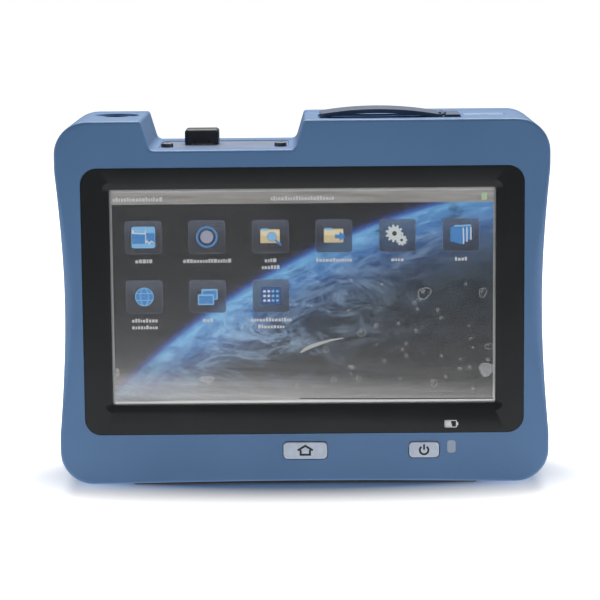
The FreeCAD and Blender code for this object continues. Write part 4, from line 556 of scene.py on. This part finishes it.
clouded = add_node(tree, "ShaderNodeMix", {0: cover, 6: ground.outputs[2],
                                           7: tinted(tree, away, CLOUD_TINTS)}, data_type="RGBA")
tree.links.new(clouded.outputs[2], shader.inputs["Emission Color"])
tree.links.new(shares["low_fade"].outputs[0], shader.inputs["Emission Strength"])

x, z, w, h = LIT_AREA
top_z = z + h / 2
printed("display_picture", [plate(rounded_loop((x, z), (w, h), 0.05, 4), PICTURE_Y, THIN)],
        panel_light, "case")

bar_light, tree, shader = lit("display_status_bar", "#7d7b79")
place = add_node(tree, "ShaderNodeTexCoord")
streak = add_node(tree, "ShaderNodeMapping", {"Vector": place.outputs["Object"], "Scale": (1, 1, 12)})
give_mottle(tree, shader, streak, "#7d7b78", "#949391", 26, "Emission Color")
bar = rounded_loop((x, top_z - BAR_HEIGHT / 2), (w, BAR_HEIGHT), 0.05, 4)
printed("display_status_bar", [plate(bar, PICTURE_Y - LAYER, THIN)], bar_light, "case")


def dashes(middle, z, length, height, y, seed):
    """A row of upright dashes of drawn widths and heights, one gap apart, over a length about its middle."""
    widths = np.random.default_rng(seed).uniform(*DASH_WIDTHS, int(length / DASH_PITCH))
    widths *= (length - DASH_GAP * (len(widths) - 1)) / widths.sum()
    starts = middle - length / 2 + np.concatenate([[0], np.cumsum(widths + DASH_GAP)[:-1]])
    tall = height * np.random.default_rng(seed + 1).choice(DASH_HEIGHTS, len(widths))
    return [plate(rounded_loop((start + width / 2, z - height / 2 + high / 2), (width, high), 0.25, 12),
                  y, THIN) for start, width, high in zip(starts, widths, tall)]


caption_light, tree, shader = lit("display_caption_dashes", "#b2b5b9")
bar_ink, tree, shader = lit("display_status_words", "#b5b7b8")
battery_light, tree, shader = lit("display_battery_green", "#9db593")
word_y = PICTURE_Y - 2 * LAYER
words = [dash for middle, length, seed in BAR_WORDS
         for dash in dashes(middle, top_z - BAR_WORD_DROP, length, BAR_WORD_HEIGHT, word_y, seed)]
printed("display_status_words", words, bar_ink, "case")
charge = rounded_loop((CHARGE_SIGN[0], top_z - CHARGE_SIGN[1]), CHARGE_SIGN_SIZE, 0.3)
printed("display_charge_sign", [plate(charge, word_y, THIN)], battery_light, "case")

tile_light, tree, shader = lit("display_tile_smoke", "#3a3d46", Alpha=0.52)
place = add_node(tree, "ShaderNodeTexCoord")
spot = add_node(tree, "ShaderNodeSeparateXYZ", {0: place.outputs["Object"]})
pitch, foot = TILE_ROWS[0] - TILE_ROWS[1], TILE_ROWS[1] - TILE[1] / 2
rise = add_node(tree, "ShaderNodeMath", {0: spot.outputs["Z"], 1: (foot + pitch - 1) * MM,
                                         2: (foot - 1) * MM}, operation="WRAP")
stops = tuple(zip((foot, foot + 0.5 * TILE[1], foot + TILE[1]), TILE_TINTS))
tree.links.new(tinted(tree, rise, stops), shader.inputs["Emission Color"])
rim_light, tree, shader = lit("display_tile_rim", "#5a6072", Alpha=0.55)
centres = [(x, TILE_ROWS[0]) for x in TILE_XS] + [(x, TILE_ROWS[1]) for x in TILE_XS[:3]]
outlines = [rounded_loop(centre, TILE, CORNERS) for centre in centres]
tile_y = PICTURE_Y - LAYER
printed("display_tiles", [plate(outline, tile_y, THIN) for outline in outlines],
        tile_light, "case")
printed("display_tile_rims", [stroke(outline, TILE_RIM, tile_y - LAYER, THIN, closed=True)
                              for outline in outlines], rim_light, "case")
bars = []
for index, lengths in enumerate(CAPTIONS):
    for row, length in enumerate(lengths):
        x, z = centres[index]
        bars += dashes(x, z - TILE[1] / 2 - CAPTION_DROP - CAPTION_PITCH * row, length, CAPTION_HEIGHT,
                       tile_y, 40 + 10 * index + row)
printed("display_captions", bars, caption_light, "case")

sign_y = tile_y - 1.5 * LAYER
upper_y = sign_y - LAYER / 2
front_y = sign_y - LAYER


def wheel(centre, radius, teeth, depth=0.13, count=160):
    """Toothed loop: the radius swells by depth where a steepened cosine of teeth times the angle is high."""
    t = np.linspace(0, 2 * np.pi, count, endpoint=False)
    grown = radius * (1 + depth * np.clip(4 * np.cos(teeth * t), -1, 1))
    return np.asarray(centre) + grown[:, None] * np.stack([np.cos(t), np.sin(t)], axis=1)


def disc(centre, width):
    """Round loop of a width: a rounded square whose corners take up all of it."""
    return rounded_loop(centre, (width, width), width / 2)


def card(centre, size, radius, y):
    """Thin lit plate with a rounded rectangle's outline."""
    return plate(rounded_loop(centre, size, radius), y, THIN)


SIGN_TONES = {"blue": "#3f7fbd", "deep_blue": "#274e86", "sky": "#79b2dd", "white": "#c9d3da",
              "lilac": "#9498ae", "cream": "#c9b98f", "pale_cream": "#d9cfae", "pale_grey": "#c6cdce",
              "slate": "#34373f"}
signs = {tone: [] for tone in SIGN_TONES}
(x0, z0), (x1, z1), (x2, z2), (x3, z3), (x4, z4), (x5, z5), (x6, z6), (x7, z7), (x8, z8) = centres
# A trace that falls off in steps, on a small screen.
signs["sky"] += [card((x0, z0), (9.6, 8.8), 1.0, sign_y)]
signs["blue"] += [card((x0, z0 - 0.4), (9.2, 4.4), 0.4, upper_y)]
trace = [(-4.4, 1.3), (-4.2, 2.7), (-3.7, 1.5), (0.7, 1.3), (0.9, 2.4), (1.0, -2.4), (1.6, -1.7), (2.4, -2.8),
         (3.2, -1.8), (4.3, -2.5)]
signs["white"] += [stroke(np.array(trace) + (x0, z0 + 0.2), 0.5, front_y, THIN)]
# A disc in a ring.
signs["blue"] += [stroke(disc((x1, z1), 8.0), 0.8, sign_y, THIN, closed=True)]
signs["lilac"] += [plate(disc((x1, z1), 5.2), sign_y, THIN)]
# Two folders: the first under a magnifying lens, the second with an arrow that leaves it.
for x, z in ((x2, z2), (x3, z3)):
    signs["sky"] += [card((x - 2.2, z + 2.8), (3.2, 0.9), 0.3, upper_y)]
    signs["cream"] += [card((x - 0.1, z + 0.1), (7.9, 5.6), 0.3, sign_y)]
    signs["pale_cream"] += [card((x - 0.1, z + 1.4), (7.5, 2.2), 0.3, upper_y)]
lens = (x2 + 0.6, z2 - 0.1)
handle = [(lens[0] + 1.2, lens[1] - 1.2), (lens[0] + 3.8, lens[1] - 3.4)]
signs["blue"] += [stroke(handle, 0.9, front_y, THIN)]
signs["sky"] += [plate(disc(lens, 3.6), front_y, THIN)]
signs["lilac"] += [stroke(disc(lens, 3.7), 0.4, front_y - LAYER / 2, THIN, closed=True)]
arrow = np.array([(-1.8, -0.8), (0.2, -0.8), (0.2, -2.0), (2.6, 0.0), (0.2, 2.0), (0.2, 0.8), (-1.8, 0.8)])
signs["blue"] += [plate(arrow + (x3 + 2.2, z3 - 0.2), front_y, THIN)]
# Two toothed wheels.
for dx, dz, radius, teeth, hole in ((-1.2, 0.8, 3.15, 11, 1.9), (1.7, -1.9, 2.05, 9, 1.1)):
    signs["pale_grey"] += [plate(wheel((x4 + dx, z4 + dz), radius, teeth), sign_y, THIN)]
    signs["slate"] += [plate(disc((x4 + dx, z4 + dz), hole), upper_y, THIN)]
# Three books, one beside the next: each with a spine, a top and the edge of its leaves.
spine = np.array([(-4.2, 3.4), (0.6, 2.9), (0.8, -3.9), (-4.3, -2.6)])
book_top = np.array([(-1.5, 0), (1.1, -0.2), (1.5, 0.5), (-1.0, 0.7)])
for step, (dx, dz, share) in enumerate(((0.0, 0.0, 1.0), (1.9, 0.5, 0.3), (3.5, 0.9, 0.3))):
    place = (x5 + dx, z5 + dz)
    book = spine * (share, 1 - 0.1 * step) + place
    leaves = [(book[1][0] + 0.3, book[1][1]), (book[2][0] + 0.3, book[2][1] + 0.2)]
    signs["blue"] += [plate(book, sign_y + THIN * (2 - step), THIN / 2)]
    signs["sky"] += [plate(book_top * (share + 0.4, 1) + (place[0] - 1.0 * share, z5 + 3.4 + 0.1 * step),
                           upper_y, THIN)]
    signs["white"] += [stroke(leaves, 0.5, upper_y, THIN)]
# A globe with two meridians and two parallels.
signs["blue"] += [plate(disc((x6, z6), 7.6), sign_y, THIN)]
for width in (7.3, 3.2):
    meridian = np.array((x6, z6)) + (disc((0, 0), 7.3) * (width / 7.3, 1))
    signs["sky"] += [stroke(meridian, 0.3, upper_y, THIN, closed=True)]
for dz in (-1.4, 1.4):
    signs["sky"] += [stroke([(x6 - 3.4, z6 + dz), (x6 + 3.4, z6 + dz)], 0.3, upper_y, THIN)]
# Two framed windows, one before the other.
for dx, dz, layer_y in ((0.8, 0.8, sign_y), (-0.7, -1.3, upper_y)):
    signs["sky"] += [card((x7 + dx, z7 + dz), (6.6, 4.4), 0.5, layer_y)]
    pane = rounded_loop((x7 + dx, z7 + dz - 0.1), (5.6, 3.2), 0.2)
    signs["blue"] += [plate(pane, layer_y - THIN, THIN / 2)]
# A board with four columns of three keys.
signs["deep_blue"] += [card((x8, z8), (8.0, 7.4), 0.3, sign_y)]
for column, tone in enumerate(("white", "white", "sky", "sky")):
    for row in range(3):
        signs[tone] += [card((x8 - 2.6 + 1.73 * column, z8 + 1.9 - 1.9 * row), (1.2, 1.0), 0.5, upper_y)]
for tone, shapes in signs.items():
    sign_light, tree, shader = lit("display_sign_" + tone, SIGN_TONES[tone], 0.9)
    printed("display_signs_" + tone, shapes, sign_light, "case")

# ------------ keys and status light
# Two keys of painted polycarbonate, satin silver-blue, each in its own opening with a black sign printed on
# it. Beside them a smoke-tinted window covers the status light.
KEY_INK_WIDTH = 0.85
POWER_RING, POWER_RING_WIDTH, POWER_BAR_WIDTH = 1.75, 0.8, 0.75  # radius, and widths of the ink
POWER_RING_GAP = 38  # degrees open on each side of the top

key_paint, tree, shader = new_finish("satin_paint_silver_blue", "#d0dbec", 0.33, Metallic=0.1)
place = give_grain(tree, shader, 0.5, 0.004)
give_mottle(tree, shader, place, "#cad5e7", "#d6e0f0", 3)
black_ink, tree, shader = new_finish("pad_print_black", "#17191c", 0.45)
give_grain(tree, shader, 0.3, 0.003)


def key_face(node):
    """Middle x and z of a key, and the plane its ink lies on, in millimetres."""
    low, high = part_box(node)
    return (low.x + high.x) / 2 / MM, (low.z + high.z) / 2 / MM, low.y / MM - PRINT_LIFT


for node in ("home_button", "power_button"):
    dressed(node, key_paint)
x, z, y = key_face("home_button")
roof = np.array([(-3.1, 0.1), (0.0, 2.0), (3.1, 0.1)]) + (x, z)
walls = np.array([(-1.9, 0.3), (-1.9, -1.7), (1.9, -1.7), (1.9, 0.3)]) + (x, z)
printed("home_sign", [stroke(path, KEY_INK_WIDTH, y, PRINT_LIFT) for path in (roof, walls)],
        black_ink, "home_key")
x, z, y = key_face("power_button")
sweep = np.radians(np.linspace(90 + POWER_RING_GAP, 450 - POWER_RING_GAP, 40))
ring = np.stack([x + POWER_RING * np.cos(sweep), z - 0.15 + POWER_RING * np.sin(sweep)], axis=1)
printed("power_sign", [stroke(ring, POWER_RING_WIDTH, y, PRINT_LIFT),
                       stroke([(x, z), (x, z + 2.3)], POWER_BAR_WIDTH, y, PRINT_LIFT)],
        black_ink, "power_key")

smoke_lens, tree, shader = new_finish("acrylic_window_smoke", "#bccbe0", 0.18, IOR=1.49,
                                      Transmission_Weight=0.2)
give_grain(tree, shader, 0.6, 0.004)
dressed("status_light", smoke_lens)

# ------------ optical bay
# A stamped plate of slate-coloured anodised aluminium closes the bay floor, held by two blued-steel screws.
# Through it stands the optical port: a machined brass block and hooks, nickel plated, round a ceramic ferrule
# in a nickel sleeve and a cream insulating ring.
bay_coat, tree, shader = new_finish("anodised_aluminium_slate", "#7d8ba6", 0.36, Metallic=0.4)
place = give_grain(tree, shader, 0.5, 0.005)
give_mottle(tree, shader, place, "#7886a1", "#8290ab", 14)
nickel, tree, shader = new_finish("nickel_plate_bright", "#c2c0b8", 0.18, Metallic=1.0)
give_grain(tree, shader, 0.5, 0.004)
machined, tree, shader = new_finish("nickel_plate_machined", "#b9b8b3", 0.26, Metallic=1.0)
give_grain(tree, shader, 0.35, 0.006, stretch=(1, 1, 10))
cream, tree, shader = new_finish("moulded_insulator_cream", "#cfc9b8", 0.45)
give_grain(tree, shader, 0.6, 0.006)
ceramic, tree, shader = new_finish("zirconia_polished_white", "#ece9e1", 0.10, IOR=2.1)
give_grain(tree, shader, 0.8, 0.001)
dressed("port_plate", bay_coat)
dressed("ferrule_sleeve", nickel)
for node in ("plate_screw_left", "plate_screw_right"):
    dressed(node, screw_steel)
for node in ("port_block", "hook_left", "hook_right"):
    dressed(node, machined)
dressed("insulating_ring", cream)
dressed("ferrule", ceramic)

# ------------ dust cap of the port
# A cap of black ABS, moulded with a fine satin grain, that swings back on a steel pin in its bracket. The
# same drawn steel makes the pins of the socket flap and of the stand.
cap_plastic, tree, shader = new_finish("moulded_abs_black", "#1b1c1f", 0.38, IOR=1.54)
place = give_grain(tree, shader, 0.5, 0.010)
give_mottle(tree, shader, place, "#17181b", "#212327", 6)
for node in ("port_cap", "cap_bracket"):
    dressed(node, cap_plastic)
pin_steel, tree, shader = new_finish("drawn_steel_pin", "#a6a6a4", 0.28, Metallic=1.0)
give_grain(tree, shader, 0.3, 0.004, stretch=(0.1, 1, 1))
for node in ("cap_pin", "flap_pin", "stand_pin_left", "stand_pin_right"):
    dressed(node, pin_steel)

# ------------ power inlet
# A barrel jack of black nylon under the left ear, with a nickel plated centre pin. The nose of the jack, a
# thin moulded collar with a lip, lines the hole in the shell.
COLLAR_PROFILE = ((5.05, -2.5), (5.28, -2.5), (5.28, 0.0), (5.9, 0.0), (5.9, 0.2), (5.05, 0.2))

nylon, tree, shader = new_finish("glass_filled_nylon_black", "#191a1c", 0.5)
give_grain(tree, shader, 0.5, 0.012)
dressed("power_inlet", nylon)
dressed("inlet_pin", nickel)
mouth = next(mount for mount in frame["record"]["mounts"] if mount["name"] == "power_inlet")
x, y, z = np.array(mouth["pos_m"]) / MM
turn = np.linspace(0, 2 * np.pi, 48, endpoint=False)[:, None]
radius, level = np.array(COLLAR_PROFILE).T
rings = np.broadcast_arrays(x + radius * np.cos(turn), y + radius * np.sin(turn), z + level)
printed("inlet_collar", [lofted(np.stack(rings, axis=-1), closed=True)], nylon, "case",
        soft_below=40)

# ------------ data sockets
# A black panel closes the ear under the flap. Through it stand an eight-way socket and two host sockets,
# drawn from tinned steel, with rows of thin gold-plated contacts.
CONTACT_PITCH, CONTACT_WIDTH = 1.02, 0.35
CONTACT_DEPTH, CONTACT_LENGTH = 1.5, 8.0
MOUTH_STEP, MOUTH_HALF = 1.3, 3.6  # the eight-way mouth: middle behind the socket's, and half its depth
CONTACT_STAND = 0.4  # how far its contacts stand into it
HOST_CONTACT_PITCH, HOST_CONTACT_WIDTH = 2.2, 1.0
HOST_CONTACT_DEPTH, HOST_CONTACT_LENGTH = 1.8, 7.0
HOST_TONGUE_STEP = 0.2  # a host socket's tongue behind its middle
CONTACT_THICKNESS = 0.08

dressed("socket_panel", cap_plastic)
tinned, tree, shader = new_finish("tinned_steel_drawn", "#b4b5b3", 0.30, Metallic=1.0)
give_grain(tree, shader, 1.2, 0.005, stretch=(1, 1, 0.2))
dressed("network_socket", nylon)
for node in ("usb_socket_front", "usb_socket_rear"):
    dressed(node, tinned)
gold, tree, shader = new_finish("hard_gold_plate", "#d8b052", 0.2, Metallic=1.0)
give_grain(tree, shader, 0.5, 0.003)


def contact_row(node, count, pitch, width, wall_y, depth, length):
    """Upright contact bars, pitch apart about the socket's middle, from depth below its mouth downwards."""
    low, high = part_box(node)
    centre, top = (low.x + high.x) / 2 / MM, high.z / MM - depth
    xs = centre + (np.arange(count) - (count - 1) / 2) * pitch
    return [plate(rounded_loop((x, top - length / 2), (width, length), 0.4 * width, 12),
                  wall_y, CONTACT_THICKNESS) for x in xs]


low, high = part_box("network_socket")
mouth_back_y = (low.y + high.y) / 2 / MM + MOUTH_STEP + MOUTH_HALF
contacts = contact_row("network_socket", 8, CONTACT_PITCH, CONTACT_WIDTH, mouth_back_y - CONTACT_STAND,
                       CONTACT_DEPTH, CONTACT_LENGTH)
for node in ("usb_socket_front", "usb_socket_rear"):
    low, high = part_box(node)
    tongue_y = (low.y + high.y) / 2 / MM + HOST_TONGUE_STEP
    contacts += contact_row(node, 4, HOST_CONTACT_PITCH, HOST_CONTACT_WIDTH, tongue_y - CONTACT_THICKNESS,
                            HOST_CONTACT_DEPTH, HOST_CONTACT_LENGTH)
printed("socket_contacts", contacts, gold, "case")

# ------------ socket flap
# A soft dark-blue flap, bowed over the sockets. It is moulded in elastomer and turns on a pin in its anchor
# pad, which is pressed into the ear.
flap_rubber, tree, shader = new_finish("moulded_elastomer_navy", "#27415f", 0.50)
place = give_grain(tree, shader, 0.6, 0.012)
give_mottle(tree, shader, place, "#233b57", "#2c4868", 12)
for node in ("flap", "flap_anchor"):
    dressed(node, flap_rubber)

# ------------ stylus
# A light-blue head on a turned barrel of black acetal, with a soft cream point. It slides in a black nylon
# tube inside the ear.
head_plastic, tree, shader = new_finish("satin_abs_light_blue", "#86a8cf", 0.40)
place = give_grain(tree, shader, 0.5, 0.008)
give_mottle(tree, shader, place, "#809fc8", "#8db0d6", 6)
acetal, tree, shader = new_finish("turned_acetal_black", "#1e2023", 0.3)
give_grain(tree, shader, 0.5, 0.006, stretch=(0.3, 0.3, 3))
dressed("stylus_head", head_plastic)
dressed("stylus_barrel", acetal)
dressed("stylus_tip", cream)
dressed("stylus_tube", nylon)

# ------------ stand, battery and door
# The folding stand and the battery door are moulded in the same black ABS as the cap; the stand's pad is
# soft. The battery is a shrink-wrapped pack.
wrap, tree, shader = new_finish("shrink_wrap_grey_blue", "#3b4550", 0.28)
give_grain(tree, shader, 7, 0.25)
for node in ("stand", "battery_door"):
    dressed(node, cap_plastic)
dressed("stand_pad", foot_rubber)
dressed("battery_pack", wrap)

# ------------ boards and modules inside
# Glass-epoxy boards with a green mask, pressed steel parts, and black moulded modules. The closed case hides
# them; they show only through openings.
board_mask, tree, shader = new_finish("glass_epoxy_green_mask", "#1f5a3c", 0.32)
place = give_grain(tree, shader, 0.8, 0.01)
give_mottle(tree, shader, place, "#1a5035", "#256846", 5)
for node in ("keypad_board", "main_board", "socket_board"):
    dressed(node, board_mask)
for node in ("display_bracket", "shield_can"):
    dressed(node, tinned)
for node in ("home_switch", "power_switch", "optical_module", "speaker"):
    dressed(node, nylon)

# ------------ studio
# The tester stands on an opal light table in a pale room. One broad lamp hangs behind and above, so the top
# faces are the lightest, one stands at each side for the flanks, and a weak one in front. The front takes its
# light from the glowing table. The camera sees the table white, but for an oval about the tester where the
# white fades out; the dark there is partly the tester's real shadow and partly painted shade.
CAMERA_PLACE = (3.702, -993.472, 221.036)
CAMERA_YAW, CAMERA_PITCH, CAMERA_ROLL = -0.299, 8.466, -0.519
CAMERA_LENS = 143.858
SENSOR = 36.0
FLOOR_HALF, FLOOR_CELLS = 4.0, 8
STAND_SHAPE = 0.38  # the tester's depth over its width: distances along X count for less
WHITE_NEAR, WHITE_FAR = 0.032, 0.068  # from the middle: where the white is gone and the painted shade full, and where all is white
GLOW_NEAR, GLOW_FAR = 0.14, 0.65  # where the table's own glow is full, and where it has faded
GLOW_LEVEL, GLOW_REST = 0.62, 0.03
ROOM_LEVEL, MIRRORED_LEVEL = 0.08, 0.32  # of the white room, as a light and as a gloss mirrors it
LAMPS = (("overhead_softbox", (0, 0.50, 1.05), (0, 0, 0.05), 1.0, 18.0),  # place, aim, edge and power
         ("front_softbox", (0.1, -1.3, 0.25), (0, 0, 0.05), 1.0, 0.2),
         ("left_softbox", (-1.3, -0.25, 0.35), (0, 0, 0.08), 0.8, 3.2),
         ("right_softbox", (1.3, -0.25, 0.35), (0, 0, 0.08), 0.8, 3.2))

opal_table, tree, shader = new_finish("opal_acrylic_white", "#e9e9e9", 0.9)
place = give_grain(tree, shader, 3, 0.01)
seen = add_node(tree, "ShaderNodeLightPath")
reach = add_node(tree, "ShaderNodeVectorMath", {0: place}, operation="LENGTH").outputs["Value"]
squeezed = add_node(tree, "ShaderNodeMapping", {"Vector": place, "Scale": (STAND_SHAPE, 1, 1)})
nearness = add_node(tree, "ShaderNodeVectorMath", {0: squeezed}, operation="LENGTH").outputs["Value"]
# Painted shade: in an oval about the tester the white fill fades out, so the table is darker there even where
# no shadow falls.
white_fill_past_painted_shade = add_node(tree, "ShaderNodeMapRange", {"Value": nearness, "From Min": WHITE_NEAR,
                                                  "From Max": WHITE_FAR})
paper = add_node(tree, "ShaderNodeEmission", {"Strength": white_fill_past_painted_shade})
fading = add_node(tree, "ShaderNodeMapRange", {"Value": reach, "From Min": GLOW_NEAR, "From Max": GLOW_FAR,
                                               "To Min": GLOW_LEVEL, "To Max": GLOW_REST})
glow = add_node(tree, "ShaderNodeEmission", {"Strength": fading})
chosen = add_node(tree, "ShaderNodeMixShader", {0: seen.outputs["Is Camera Ray"], 1: glow, 2: paper})
total = add_node(tree, "ShaderNodeAddShader", {0: shader, 1: chosen})
tree.links.new(total.outputs[0], tree.nodes["Material Output"].inputs["Surface"])
edge = np.linspace(-FLOOR_HALF, FLOOR_HALF, FLOOR_CELLS + 1)
u, v = np.meshgrid(edge, edge, indexing="ij")
i, j = (grid.ravel() for grid in np.meshgrid(np.arange(FLOOR_CELLS), np.arange(FLOOR_CELLS), indexing="ij"))
row = FLOOR_CELLS + 1
floor_mesh = bpy.data.meshes.new("table_top")
floor_mesh.from_pydata(np.stack([u, v, np.zeros_like(u)], axis=-1).reshape(-1, 3), [],
                       np.stack([i * row + j, (i + 1) * row + j, (i + 1) * row + j + 1, i * row + j + 1],
                                axis=1))
floor_mesh.materials.append(opal_table)
floor = bpy.data.objects.new("table_top", floor_mesh)
bpy.context.scene.collection.objects.link(floor)

for name, place, aim, edge, power in LAMPS:
    lamp = bpy.data.lights.new(name, "AREA")
    lamp.size, lamp.energy = edge, power
    box = bpy.data.objects.new(name, lamp)
    facing = (Vector(aim) - Vector(place)).to_track_quat("-Z", "Y").to_matrix().to_4x4()
    box.matrix_world = Matrix.Translation(place) @ facing
    bpy.context.scene.collection.objects.link(box)

world = bpy.data.worlds.new("pale_room")
world.use_nodes = True
bpy.context.scene.world = world
tree = world.node_tree
seen = add_node(tree, "ShaderNodeLightPath")
direct = add_node(tree, "ShaderNodeMath", {0: seen.outputs["Is Camera Ray"],
                                           1: seen.outputs["Is Transmission Ray"]}, operation="MAXIMUM")
mirrored = add_node(tree, "ShaderNodeMath", {0: seen.outputs["Is Glossy Ray"],
                                             1: MIRRORED_LEVEL - ROOM_LEVEL, 2: ROOM_LEVEL},
                    operation="MULTIPLY_ADD")
level = add_node(tree, "ShaderNodeMath", {0: direct, 1: mirrored}, operation="MAXIMUM")
tree.links.new(level.outputs[0], tree.nodes["Background"].inputs["Strength"])
tree.nodes["Background"].inputs["Color"].default_value = linear("#ffffff")

yaw, pitch, roll = (math.radians(angle) for angle in (CAMERA_YAW, CAMERA_PITCH, CAMERA_ROLL))
ahead = Vector((math.sin(yaw) * math.cos(pitch), math.cos(yaw) * math.cos(pitch), -math.sin(pitch)))
level_right = Vector((math.cos(yaw), -math.sin(yaw), 0))
level_up = level_right.cross(ahead)
right = math.cos(roll) * level_right + math.sin(roll) * level_up
up = -math.sin(roll) * level_right + math.cos(roll) * level_up
lens = bpy.data.cameras.new("bench_camera")
lens.lens, lens.sensor_width = CAMERA_LENS, SENSOR
camera = bpy.data.objects.new("bench_camera", lens)
turned = Matrix((right, up, -ahead)).transposed().to_4x4()
camera.matrix_world = Matrix.Translation([value * MM for value in CAMERA_PLACE]) @ turned
bpy.context.scene.collection.objects.link(camera)
bpy.context.scene.camera = camera
bpy.context.scene.view_settings.view_transform = "Standard"
